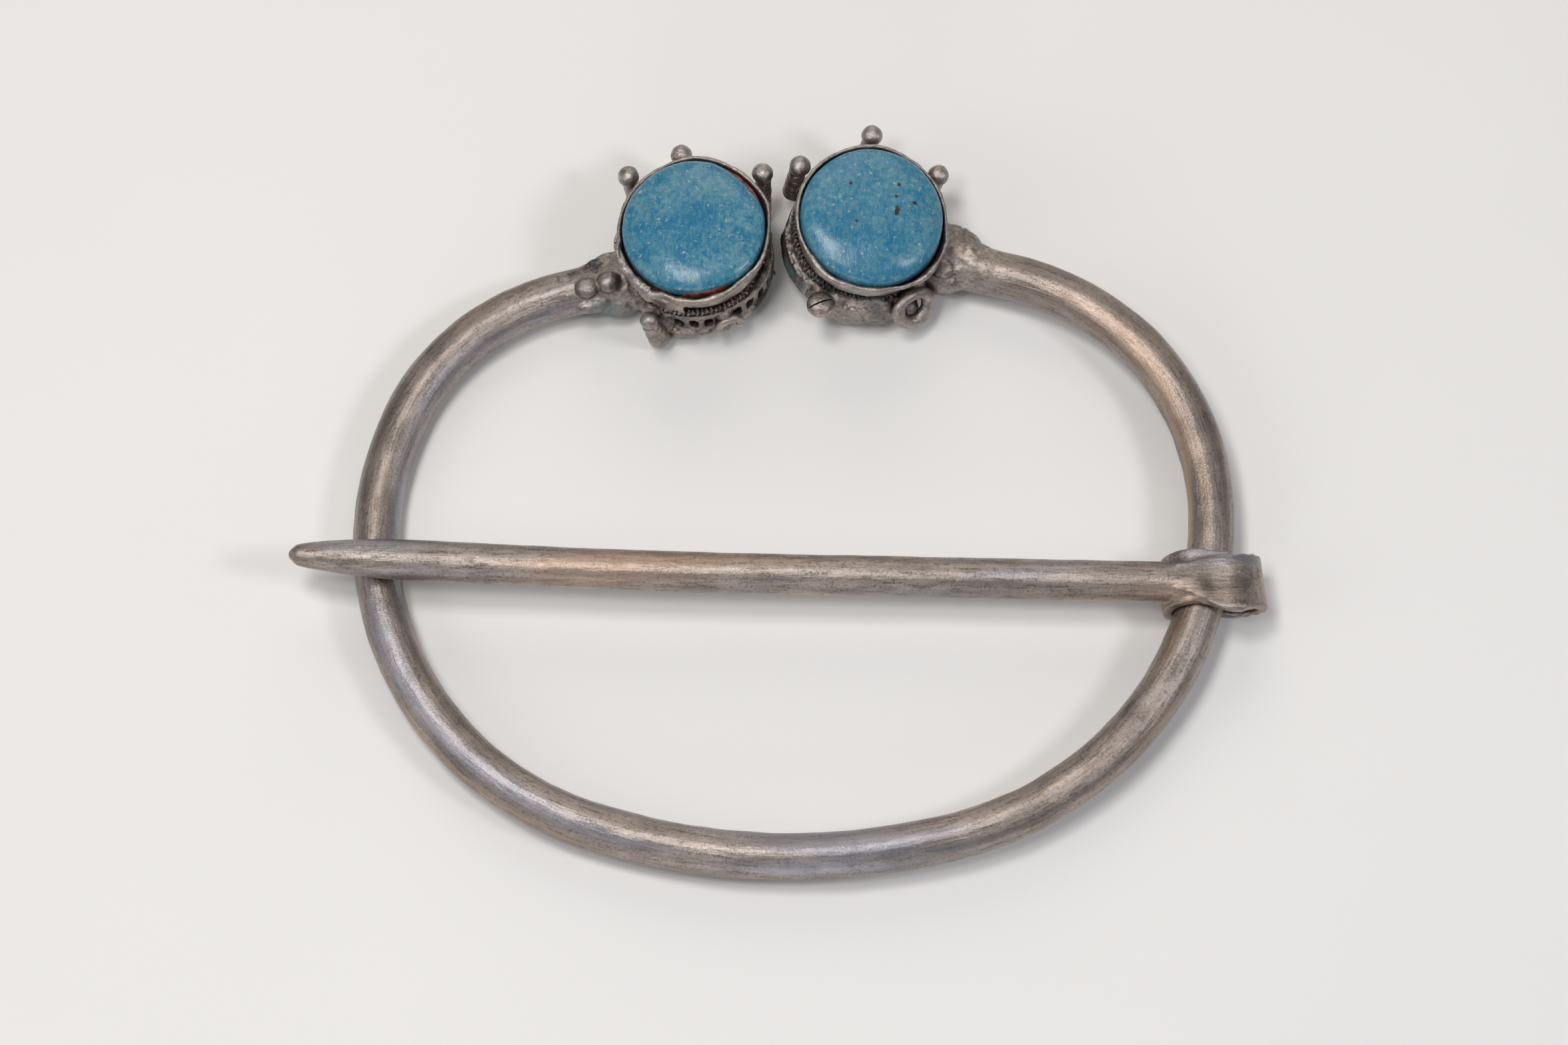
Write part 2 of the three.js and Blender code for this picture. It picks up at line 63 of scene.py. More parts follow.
Triple = tuple[float, float, float]
Profile = list[tuple[float, float]]
Spots = tuple[tuple[Triple, float], ...]

log = logging.getLogger("brooch")


class Body(Enum):
    """The moving bodies of the brooch."""

    RING = "ring"
    PIN = "pin"


class Slot(Enum):
    """The record's material slots."""

    SILVER = "tarnished_silver"
    DARK_SILVER = "dark_silver"
    STONE = "blue_stone"
    LAC = "red_lac"


class Grain(Enum):
    """How the streaks of a finish run over a piece."""

    EVEN = "even"
    ALONG_PIN = "along the pin"
    ALONG_WIRE = "along the wire"


# Bench tools


class Bench:
    """The hand tools: each makes or shapes one piece, in millimetres."""

    @staticmethod
    def clear() -> None:
        """Leaves edit mode and deselects everything."""
        if bpy.context.object is not None and bpy.context.object.mode != "OBJECT":
            bpy.ops.object.mode_set(mode="OBJECT")
        bpy.ops.object.select_all(action="DESELECT")

    @staticmethod
    def take(piece: bpy.types.Object) -> None:
        """Selects one piece alone and makes it active.

        Args:
            piece: the piece to work on.
        """
        Bench.clear()
        piece.select_set(True)
        bpy.context.view_layer.objects.active = piece

    @staticmethod
    @contextmanager
    def editing(piece: bpy.types.Object) -> Iterator[None]:
        """Opens a piece in edit mode with nothing selected, and closes it again.

        Args:
            piece: the piece to work on.
        """
        Bench.take(piece)
        bpy.ops.object.mode_set(mode="EDIT")
        bpy.ops.mesh.select_mode(type="VERT")
        bpy.ops.mesh.select_all(action="DESELECT")
        yield
        bpy.ops.object.mode_set(mode="OBJECT")

    @staticmethod
    def pick(piece: bpy.types.Object, test: Callable[[Vector], bool]) -> None:
        """Selects the vertices whose place passes a test, in edit mode.

        Args:
            piece: the piece being edited.
            test: takes a place in millimetres.
        """
        mesh = bmesh.from_edit_mesh(piece.data)
        for vert in mesh.verts:
            vert.select_set(bool(test(vert.co / MM)))
        mesh.select_flush_mode()
        bmesh.update_edit_mesh(piece.data)

    @staticmethod
    def push(by: Triple, reach: float = 0.0) -> None:
        """Moves what is selected, and softly what lies within reach of it.

        Args:
            by: the way to go.
            reach: how far the pull spreads.
        """
        bpy.ops.transform.translate(
            value=Vector(by) * MM,
            use_proportional_edit=reach > 0,
            proportional_edit_falloff="SMOOTH",
            proportional_size=max(reach, 0.001) * MM,
        )

    @staticmethod
    def settle(piece: bpy.types.Object, place: Matrix | None = None) -> bpy.types.Object:
        """Sets a piece in its place and puts that place into its mesh.

        Args:
            piece: the piece.
            place: its frame, or None if it already stands where it belongs.

        Returns:
            The piece.
        """
        Bench.take(piece)
        if place is not None:
            piece.matrix_world = place @ piece.matrix_world
        bpy.ops.object.transform_apply(location=True, rotation=True, scale=True)
        return piece

    @staticmethod
    def turned(name: str, profile: Profile, steps: int = 96) -> bpy.types.Object:
        """Turns a profile about the upright axis, as on a lathe.

        Args:
            name: the name of the piece.
            profile: (radius, height) from one pole or edge to the other.
            steps: faces round the axis.

        Returns:
            The turned piece.
        """
        Bench.clear()
        bpy.ops.mesh.primitive_plane_add(size=MM)
        piece = bpy.context.object
        piece.name = name
        with Bench.editing(piece):
            bpy.ops.mesh.select_all(action="SELECT")
            bpy.ops.mesh.merge(type="CENTER")
            Bench.push((profile[0][0], 0, profile[0][1]))
            for (radius, height), (next_radius, next_height) in zip(profile, profile[1:]):
                step = Vector((next_radius - radius, 0, next_height - height)) * MM
                bpy.ops.mesh.extrude_vertices_move(TRANSFORM_OT_translate={"value": step})
            bpy.ops.mesh.select_all(action="SELECT")
            bpy.ops.mesh.spin(steps=steps, angle=math.tau, center=(0, 0, 0), axis=(0, 0, 1))
            Bench.close_up()
        return piece

    @staticmethod
    def close_up() -> None:
        """Merges doubles and turns the faces outwards, in edit mode."""
        bpy.ops.mesh.select_all(action="SELECT")
        bpy.ops.mesh.remove_doubles(threshold=MM * DOUBLES)
        bpy.ops.mesh.normals_make_consistent(inside=False)

    @staticmethod
    def ball(name: str, radius: float, centre: Triple, squash: Triple = (1, 1, 1), fine: int = 4) -> bpy.types.Object:
        """Makes a blob of solder or a grain from a ball with its crown pressed a little flat.

        Args:
            name: the name of the piece.
            radius: its radius.
            centre: its middle.
            squash: its scale along each axis.
            fine: how finely it is divided.

        Returns:
            The blob.
        """
        Bench.clear()
        bpy.ops.mesh.primitive_ico_sphere_add(subdivisions=fine, radius=radius * MM)
        piece = bpy.context.object
        piece.name = name
        with Bench.editing(piece):
            Bench.pick(piece, lambda place: place.z > radius * 0.9)
            Bench.push((0, 0, -radius * 0.06), radius * 0.6)
            bpy.ops.mesh.select_all(action="SELECT")
            bpy.ops.transform.resize(value=squash)
            Bench.push(centre)
        return piece

    @staticmethod
    def ring(name: str, major: float, minor: float, round_steps: int = 48, wire_steps: int = 14) -> bpy.types.Object:
        """Makes a closed ring of round wire, lying level.

        Args:
            name: the name of the piece.
            major: radius of the ring.
            minor: radius of the wire.
            round_steps: faces round the ring.
            wire_steps: faces round the wire.

        Returns:
            The ring.
        """
        Bench.clear()
        bpy.ops.mesh.primitive_torus_add(
            major_radius=major * MM, minor_radius=minor * MM, major_segments=round_steps, minor_segments=wire_steps
        )
        piece = bpy.context.object
        piece.name = name
        return piece

    @staticmethod
    def again(piece: bpy.types.Object, name: str) -> bpy.types.Object:
        """Makes a copy of a piece with a mesh of its own.

        Args:
            piece: what is copied.
            name: the name of the copy.

        Returns:
            The copy.
        """
        Bench.take(piece)
        bpy.ops.object.duplicate(linked=False)
        copy = bpy.context.object
        copy.name = name
        return copy

    @staticmethod
    def join(name: str, parts: list[bpy.types.Object]) -> bpy.types.Object:
        """Joins parts into one piece.

        Args:
            name: the name of the whole.
            parts: what is joined, the first of them taking the rest.

        Returns:
            The whole.
        """
        Bench.clear()
        for part in parts:
            part.select_set(True)
        bpy.context.view_layer.objects.active = parts[0]
        if len(parts) > 1:
            bpy.ops.object.join()
        parts[0].name = name
        return parts[0]

    @staticmethod
    def shape(piece: bpy.types.Object, kind: str, **settings: object) -> bpy.types.Object:
        """Adds a modifier to a piece and applies it.

        Args:
            piece: the piece.
            kind: the modifier's type.
            settings: the modifier's settings.

        Returns:
            The piece.
        """
        Bench.take(piece)
        modifier = piece.modifiers.new(kind.lower(), kind)
        for key, value in settings.items():
            setattr(modifier, key, value)
        bpy.ops.object.modifier_apply(modifier=modifier.name)
        return piece

    @staticmethod
    def fuse(piece: bpy.types.Object, voxel: float, blur: int = 2) -> bpy.types.Object:
        """Melts the overlapping parts of a piece into one skin.

        Args:
            piece: the piece.
            voxel: the size of the new faces.
            blur: how often the skin is smoothed.

        Returns:
            The piece.
        """
        Bench.shape(piece, "REMESH", mode="VOXEL", voxel_size=voxel * MM, use_smooth_shade=True)
        return Bench.shape(piece, "SMOOTH", factor=0.5, iterations=blur)

    @staticmethod
    def cut(piece: bpy.types.Object, tool: bpy.types.Object) -> bpy.types.Object:
        """Cuts a tool's shape out of a piece and puts the tool away.

        Args:
            piece: what is cut.
            tool: what cuts it.

        Returns:
            The piece.
        """
        Bench.shape(piece, "BOOLEAN", operation="DIFFERENCE", solver="EXACT", object=tool)
        bpy.data.objects.remove(tool)
        return piece

    @staticmethod
    def weigh(piece: bpy.types.Object, name: str, weight: Callable[[np.ndarray], np.ndarray]) -> str:
        """Gives a piece a vertex group whose weights follow a rule.

        Args:
            piece: the piece.
            name: the name of the group.
            weight: takes the places of the vertices in millimetres, one row each, and returns their weights.

        Returns:
            The name of the group.
        """
        group = piece.vertex_groups.new(name=name)
        for index, value in enumerate(np.clip(weight(places(piece)), 0, 1)):
            if value > 0.001:
                group.add([index], float(value), "REPLACE")
        return group.name

    @staticmethod
    def batter(piece: bpy.types.Object, size: float, depth: float, group: str = "") -> bpy.types.Object:
        """Makes a surface uneven, as casting, hammering and wear leave it.

        Args:
            piece: the piece, in its place.
            size: how wide the bumps are.
            depth: how far they rise and fall in all.
            group: the vertex group that holds them in, or none.

        Returns:
            The piece.
        """
        bumps = bpy.data.textures.new(f"bumps_{size:g}", "CLOUDS")
        bumps.noise_scale = size * MM
        bumps.noise_depth = 2
        return Bench.shape(
            piece,
            "DISPLACE",
            texture=bumps,
            texture_coords="LOCAL",
            strength=depth * MM,
            mid_level=0.5,
            vertex_group=group,
        )

    @staticmethod
    def swell(piece: bpy.types.Object, by: float, group: str) -> bpy.types.Object:
        """Raises or sinks the surface of a piece where a group says.

        Args:
            piece: the piece.
            by: how far it rises.
            group: the vertex group.

        Returns:
            The piece.
        """
        return Bench.shape(piece, "DISPLACE", strength=by * MM, mid_level=0.0, vertex_group=group)

    @staticmethod
    def soften(piece: bpy.types.Object, angle: float = 180) -> bpy.types.Object:
        """Shades a piece smoothly up to an angle between its faces.

        Args:
            piece: the piece.
            angle: the sharpest edge that is still smooth, in degrees.

        Returns:
            The piece.
        """
        Bench.take(piece)
        bpy.ops.object.shade_smooth_by_angle(angle=math.radians(angle))
        return piece


def places(piece: bpy.types.Object) -> np.ndarray:
    """Gives the places of a piece's vertices.

    Args:
        piece: the piece.

    Returns:
        One row of millimetres for each vertex.
    """
    rows = np.empty(len(piece.data.vertices) * 3)
    piece.data.vertices.foreach_get("co", rows)
    return rows.reshape(-1, 3) / MM


def eased(share: float | np.ndarray) -> float | np.ndarray:
    """A share from 0 to 1 that starts and ends softly."""
    return share * share * (3 - 2 * share)


def near(at: Triple, reach: float) -> Callable[[np.ndarray], np.ndarray]:
    """Makes a soft weight round a place.

    Args:
        at: the place.
        reach: where the weight ends.

    Returns:
        A rule for Bench.weigh.
    """

    def weight(rows: np.ndarray) -> np.ndarray:
        return eased(np.clip(1 - np.linalg.norm(rows - np.array(at), axis=1) / reach, 0, 1))

    return weight


def turn(degrees: float, axis: str) -> Matrix:
    """A rotation about one axis."""
    return Matrix.Rotation(math.radians(degrees), 4, axis)


def shift(x: float, y: float, z: float) -> Matrix:
    """A move in millimetres."""
    return Matrix.Translation(Vector((x, y, z)) * MM)


def beside(bearing: float, distance: float, lift: float, lean: float = 0.0) -> Matrix:
    """The frame of a piece that stands beside a drum, its own +Y pointing away from the drum.

    Args:
        bearing: degrees about the drum's axis.
        distance: from that axis.
        lift: above the underside of the plate.
        lean: degrees that it leans out.

    Returns:
        The frame.
    """
    angle = math.radians(bearing)
    return (
        shift(distance * math.cos(angle), distance * math.sin(angle), lift) @ turn(bearing - 90, "Z") @ turn(-lean, "X")
    )


# Finishes


class NodeBench:
    """Lays out the nodes of one material."""

    def __init__(self, name: str) -> None:
        """Starts a material with a principled shader.

        Args:
            name: the name of the material.
        """
        self.material = bpy.data.materials.new(name)
        self.material.use_nodes = True
        self.tree = self.material.node_tree
        self.tree.nodes.clear()
        self.shader = self.tree.nodes.new("ShaderNodeBsdfPrincipled")
        out = self.tree.nodes.new("ShaderNodeOutputMaterial")
        self.tree.links.new(self.shader.outputs["BSDF"], out.inputs["Surface"])

    def set(self, socket: bpy.types.NodeSocket, value: object) -> None:
        """Links or sets a socket.

        Args:
            socket: an input.
            value: an output to link, or a constant.
        """
        if isinstance(value, bpy.types.NodeSocket):
            self.tree.links.new(value, socket)
        elif isinstance(value, tuple) and len(value) == 3 and socket.type == "RGBA":
            socket.default_value = (*value, 1)
        else:
            socket.default_value = value

    def node(self, kind: str, inputs: dict[str | int, object], **settings: object) -> bpy.types.Node:
        """Adds a node.

        Args:
            kind: its type, without the first two words.
            inputs: what goes into its sockets.
            settings: its own settings.

        Returns:
            The node.
        """
        made = self.tree.nodes.new("ShaderNode" + kind)
        for key, value in settings.items():
            setattr(made, key, value)
        for key, value in inputs.items():
            self.set(made.inputs[key], value)
        return made

    def where(self, centre: Triple, stretch: Triple = (1, 1, 1), spin: float = 0.0) -> bpy.types.NodeSocket:
        """Places in millimetres on the object, from a centre.

        Args:
            centre: the centre in millimetres.
            stretch: how many units of the pattern one millimetre takes along each axis.
            spin: degrees about the upright axis by which the pattern lies turned.

        Returns:
            The vector.
        """
        coordinates = self.node("TexCoord", {})
        moved = self.node(
            "Mapping", {"Vector": coordinates.outputs["Object"], "Location": Vector(centre) * -MM}, vector_type="POINT"
        )
        return self.node(
            "Mapping",
            {
                "Vector": moved.outputs[0],
                "Rotation": (0, 0, -math.radians(spin)),
                "Scale": Vector(stretch) / MM,
            },
            vector_type="POINT",
        ).outputs[0]

    def noise(
        self, at: bpy.types.NodeSocket, scale: float, detail: float = 4, rough: float = 0.55
    ) -> bpy.types.NodeSocket:
        """Cloudy noise.

        Args:
            at: the vector it is read at.
            scale: patches in one unit.
            detail: octaves.
            rough: share of the finer octaves.

        Returns:
            Its value.
        """
        return self.node(
            "TexNoise", {"Vector": at, "Scale": scale, "Detail": detail, "Roughness": rough}
        ).outputs[0]

    def ramp(self, value: object, low: float, high: float) -> bpy.types.NodeSocket:
        """Spreads a value's range from low to high over 0 to 1.

        Args:
            value: the value.
            low: what becomes 0.
            high: what becomes 1.

        Returns:
            The new value.
        """
        return self.node(
            "MapRange",
            {"Value": value, "From Min": low, "From Max": high, "To Min": 0.0, "To Max": 1.0},
            interpolation_type="SMOOTHSTEP",
        ).outputs[0]

    def mix(self, share: object, first: object, second: object) -> bpy.types.NodeSocket:
        """Mixes two colours.

        Args:
            share: how much of the second.
            first: a colour.
            second: a colour.

        Returns:
            The mixed colour.
        """
        made = self.node("Mix", {}, data_type="RGBA")
        self.set(made.inputs[0], share)
        self.set(made.inputs[6], first)
        self.set(made.inputs[7], second)
        return made.outputs[2]

    def sum(self, operation: str, first: object, second: object) -> bpy.types.NodeSocket:
        """Does one sum.

        Args:
            operation: ADD, MULTIPLY and so on.
            first: the first number.
            second: the second number.

        Returns:
            The result.
        """
        return self.node("Math", {0: first, 1: second}, operation=operation).outputs[0]

    def times(self, first: object, second: object) -> bpy.types.NodeSocket:
        """The first number times the second."""
        return self.sum("MULTIPLY", first, second)

    def plus(self, first: object, second: object) -> bpy.types.NodeSocket:
        """The first number plus the second."""
        return self.sum("ADD", first, second)

    def minus(self, first: object, second: object) -> bpy.types.NodeSocket:
        """The first number less the second."""
        return self.sum("SUBTRACT", first, second)

    def larger(self, first: object, second: object) -> bpy.types.NodeSocket:
        """The larger of two numbers."""
        return self.sum("MAXIMUM", first, second)

    def length(self, vector: bpy.types.NodeSocket) -> bpy.types.NodeSocket:
        """The length of a vector."""
        return self.node("VectorMath", {0: vector}, operation="LENGTH").outputs["Value"]

    def bump(self, height: bpy.types.NodeSocket, depth: float, under: object = None) -> bpy.types.NodeSocket:
        """Bumps the surface.

        Args:
            height: the height from 0 to 1.
            depth: what 1 stands for, in millimetres.
            under: another bump that this one lies on.

        Returns:
            The normal.
        """
        inputs: dict[str | int, object] = {"Height": height, "Distance": depth * MM, "Strength": 1.0}
        if under is not None:
            inputs["Normal"] = under
        return self.node("Bump", inputs).outputs[0]


@dataclass(frozen=True)
class SilverFinish:
    """Old low silver: warm grey, streaked and clouded with tarnish, black and green where dirt has stayed."""

    name: str
    grain: Grain = Grain.EVEN
    spin: float = 0.0
    bright: Triple = (0.47, 0.405, 0.36)
    middle: Triple = (0.27, 0.23, 0.205)
    dark: Triple = (0.07, 0.058, 0.052)
    blue_tinge: Triple = (0.34, 0.36, 0.45)
    warm_tinge: Triple = (0.52, 0.35, 0.24)
    verdigris_colour: Triple = (0.09, 0.2, 0.2)
    black: Triple = (0.018, 0.015, 0.014)
    shine: float = 0.25
    dull: float = 0.47
    patina: float = 0.6
    tinge: float = 0.45
    grime: float = 0.0
    wear: float = 0.0
    worn: Triple = (0.62, 0.56, 0.5)
    # painted shade: soft dark spots laid where the surface lies in shade
    shaded_at: Spots = ()
    verdigris: float = 0.0
    green_at: Spots = ()
    black_at: Spots = ()

    def spots(self, bench: NodeBench, spots: Spots, ragged: bpy.types.NodeSocket) -> object:
        """Marks soft ragged spots.

        Args:
            bench: the node bench.
            spots: the middle and the reach of each.
            ragged: noise that breaks their edges.

        Returns:
            How much of a spot there is.
        """
        whole: object = 0.0
        edge = bench.times(bench.minus(ragged, 0.5), 1.6)
        for centre, reach in spots:
            at = bench.where(centre, (1 / reach,) * 3)
            inside = bench.ramp(bench.plus(bench.length(at), edge), 1.0, 0.45)
            whole = bench.larger(whole, inside)
        return whole

    def material(self) -> bpy.types.Material:
        """Builds the material.

        Returns:
            The material.
        """
        bench = NodeBench(self.name)
        even = bench.where((0, 0, 0))
        if self.grain is Grain.ALONG_WIRE:
            run = bench.node("Attribute", {}, attribute_name="wire_run").outputs["Vector"]
        elif self.grain is Grain.ALONG_PIN:
            run = bench.where((0, 0, 0), (0.12, 1, 1), self.spin)
        else:
            run = bench.where((0, 0, 0), (0.6, 1, 1), 20)
        streaks = bench.noise(run, 1.3, 6, 0.65)
        fine_streaks = bench.noise(run, 4.5, 4, 0.6)
        clouds = bench.noise(even, 0.3, 5, 0.6)
        specks = bench.noise(even, 5, 3, 0.7)
        tone = bench.plus(bench.times(streaks, 0.55), bench.times(clouds, 0.45))
        colour = bench.mix(bench.ramp(tone, 0.36, 0.66), self.middle, self.bright)
        tarnish = bench.ramp(bench.plus(bench.times(fine_streaks, 0.55), bench.times(specks, 0.45)), 0.48, 0.64)
        colour = bench.mix(bench.times(tarnish, self.patina), colour, self.dark)
        stains = bench.ramp(bench.noise(even, 2.6, 6, 0.75), 0.52, 0.7)
        colour = bench.mix(bench.times(stains, self.patina), colour, self.dark)
        wide = bench.noise(run, 0.35, 2, 0.5)
        blue = bench.times(bench.ramp(wide, 0.52, 0.7), self.tinge)
        warm = bench.times(bench.ramp(wide, 0.46, 0.3), self.tinge)
        colour = bench.mix(blue, colour, self.blue_tinge)
        colour = bench.mix(warm, colour, self.warm_tinge)
        dirt: object = bench.times(bench.ramp(clouds, 0.52, 0.66), self.grime * 0.5)
        if self.grime:
            shelter = bench.node("AmbientOcclusion", {"Distance": 0.9 * MM}, samples=6).outputs["AO"]
            dirt = bench.larger(dirt, bench.times(bench.ramp(shelter, 0.85, 0.35), self.grime))
        if self.black_at:
            dirt = bench.larger(dirt, bench.times(self.spots(bench, self.black_at, fine_streaks), 0.92))
        # painted shade: the listed spots are darkened towards the dark tone
        if self.shaded_at:
            shaded = bench.times(self.spots(bench, self.shaded_at, streaks), 0.4)
            colour = bench.mix(shaded, colour, self.dark)
        if self.wear:
            convex = bench.ramp(bench.node("NewGeometry", {}).outputs["Pointiness"], 0.515, 0.6)
            colour = bench.mix(bench.times(convex, self.wear), colour, self.worn)
        colour = bench.mix(dirt, colour, self.black)
        green: object = 0.0
        if self.verdigris:
            patches = bench.ramp(bench.noise(even, 0.8, 5, 0.65), 0.56, 0.68)
            green = bench.times(patches, self.verdigris)
            if self.green_at:
                green = bench.larger(green, bench.times(self.spots(bench, self.green_at, specks), 0.75))
            colour = bench.mix(green, colour, self.verdigris_colour)
        crust = bench.sum("MINIMUM", bench.plus(bench.times(dirt, 0.75), bench.times(green, 0.9)), 1.0)
        bench.set(bench.shader.inputs["Base Color"], colour)
        bench.set(bench.shader.inputs["Metallic"], bench.minus(1.0, bench.times(crust, 0.75)))
        gloss = bench.plus(bench.times(tone, self.dull - self.shine), self.shine)
        gloss = bench.plus(gloss, bench.times(tarnish, 0.1))
        bench.set(bench.shader.inputs["Roughness"], bench.plus(gloss, bench.times(crust, 0.3)))
        waves = bench.bump(bench.noise(run, 0.9, 3, 0.5), 0.07)
        scratches = bench.bump(fine_streaks, 0.03, waves)
        pits = bench.bump(bench.noise(even, 5.5, 5, 0.7), 0.035, scratches)
        bench.set(bench.shader.inputs["Normal"], pits)
        return bench.material


@dataclass(frozen=True)
class StoneFinish:
    """Satin turquoise blue with cloudy cream mottling, deeper veins, pale specks and a few brown pits."""

    name: str
    centre: Triple
    body: Triple = (0.027, 0.175, 0.29)
    deep: Triple = (0.003, 0.14, 0.28)
    cloud: Triple = (0.16, 0.32, 0.345)
    speck: Triple = (0.46, 0.48, 0.38)
    pit_colour: Triple = (0.04, 0.03, 0.022)
    clouding: float = 0.5
    depth_of_blue: float = 0.5
    deep_at: Spots = ()
    pits: tuple[tuple[float, float, float, float], ...] = ()

    def material(self) -> bpy.types.Material:
        """Builds the material.

        Returns:
            The material.
        """
        bench = NodeBench(self.name)
        at = bench.where(self.centre)
        upright = bench.where(self.centre, (2.4, 0.55, 1))
        blotches = bench.noise(at, 0.33, 4, 0.6)
        mottle = bench.noise(at, 2.1, 7, 0.75)
        patches = bench.noise(bench.where((self.centre[0] + 9, *self.centre[1:])), 0.9, 6, 0.7)
        fibres = bench.noise(upright, 2.6, 4, 0.65)
        specks = bench.noise(at, 2.9, 4, 0.65)
        dust = bench.plus(bench.times(mottle, 0.7), bench.times(blotches, 0.3))
        colour = bench.mix(bench.times(bench.ramp(dust, 0.42, 0.62), self.clouding), self.body, self.cloud)
        deep: object = bench.times(bench.ramp(patches, 0.5, 0.6), self.depth_of_blue)
        for centre, reach in self.deep_at:
            place = bench.where(centre, (1 / reach,) * 3)
            rim = bench.plus(bench.length(place), bench.times(bench.minus(patches, 0.5), 5.0))
            deep = bench.larger(deep, bench.times(bench.ramp(rim, 1.3, 0.3), 0.85))
        colour = bench.mix(deep, colour, self.deep)
        colour = bench.mix(bench.times(bench.ramp(fibres, 0.48, 0.66), 0.4), colour, self.cloud)
        colour = bench.mix(bench.times(bench.ramp(specks, 0.61, 0.69), 0.8), colour, self.speck)
        grit = bench.noise(at, 5.2, 2, 0.5)
        pitted: object = bench.times(bench.ramp(grit, 0.715, 0.76), 0.6)
        for x, y, reach, tall in self.pits:
            middle = (self.centre[0] + x, self.centre[1] + y, self.centre[2])
            place = bench.where(middle, (1 / reach, 1 / (reach * tall), 0))
            rim = bench.plus(bench.length(place), bench.times(bench.minus(specks, 0.5), 1.8))
            pitted = bench.larger(pitted, bench.ramp(rim, 1.0, 0.55))
        colour = bench.mix(pitted, colour, self.pit_colour)
        bench.set(bench.shader.inputs["Base Color"], colour)
        bench.set(bench.shader.inputs["Roughness"], bench.plus(0.17, bench.times(mottle, 0.2)))
        bench.shader.inputs["Subsurface Weight"].default_value = 0.06
        bench.shader.inputs["Subsurface Radius"].default_value = (0.3, 0.6, 1.0)
        bench.shader.inputs["Subsurface Scale"].default_value = 0.4 * MM
        bench.shader.inputs["Specular IOR Level"].default_value = 0.45
        waves = bench.bump(bench.noise(at, 1.1, 3, 0.5), 0.035)
        grain = bench.bump(fibres, 0.012, waves)
        holes = bench.bump(bench.minus(1.0, pitted), 0.05, grain)
        bench.set(bench.shader.inputs["Normal"], holes)
        return bench.material


@dataclass(frozen=True)
class LacFinish:
    """Brick-red lac, dull and grainy, darkened with old dirt."""

    name: str = "brick_red_lac"
    red: Triple = (0.3, 0.06, 0.035)
    brown: Triple = (0.07, 0.025, 0.018)

    def material(self) -> bpy.types.Material:
        """Builds the material.

        Returns:
            The material.
        """
        bench = NodeBench(self.name)
        at = bench.where((0, 0, 0))
        patches = bench.noise(at, 1.1, 5, 0.65)
        grit = bench.noise(at, 6, 3, 0.6)
        colour = bench.mix(bench.ramp(patches, 0.42, 0.62), self.brown, self.red)
        bench.set(bench.shader.inputs["Base Color"], colour)
        bench.set(bench.shader.inputs["Roughness"], bench.plus(0.45, bench.times(grit, 0.35)))
        bench.set(bench.shader.inputs["Normal"], bench.bump(grit, 0.05))
        return bench.material


def dress(
    piece: bpy.types.Object, body: Body, slot: Slot, finish: bpy.types.Material | None, *nodes: str
) -> bpy.types.Object:
    """Gives a piece its finish and its body, hides the solids that it stands for, and reports its face count.

    Args:
        piece: the piece, in its place.
        body: the body that it moves with.
        slot: the record's slot; not used.
        finish: its material, or None if it already has its materials.
        nodes: the solids that it stands for.

    Returns:
        The piece.
    """
    if finish is not None:
        piece.data.materials.clear()
        piece.data.materials.append(finish)
    piece.vertex_groups.clear()
    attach(piece, body.value)
    if nodes:
        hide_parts(*nodes)
    log.info("%s: %d faces", piece.name, len(piece.data.polygons))
    return piece


# Hoop


@dataclass(frozen=True)
class SideOfHoop:
    """One side of the hoop: its widest point, its bends, and where its terminal stands."""

    side: int
    half_width: float
    waist: float
    shoulder_start: float
    shoulder_radius: float
    terminal_x: float
    terminal_y: float


@dataclass(frozen=True)
class Bend:
    """A stretch of the centre line: an arc about a centre, or a straight if its radius is 0."""

    start: Vector
    centre: Vector
    radius: float
    sweep: float
    heading: float
    length: float
    run: float


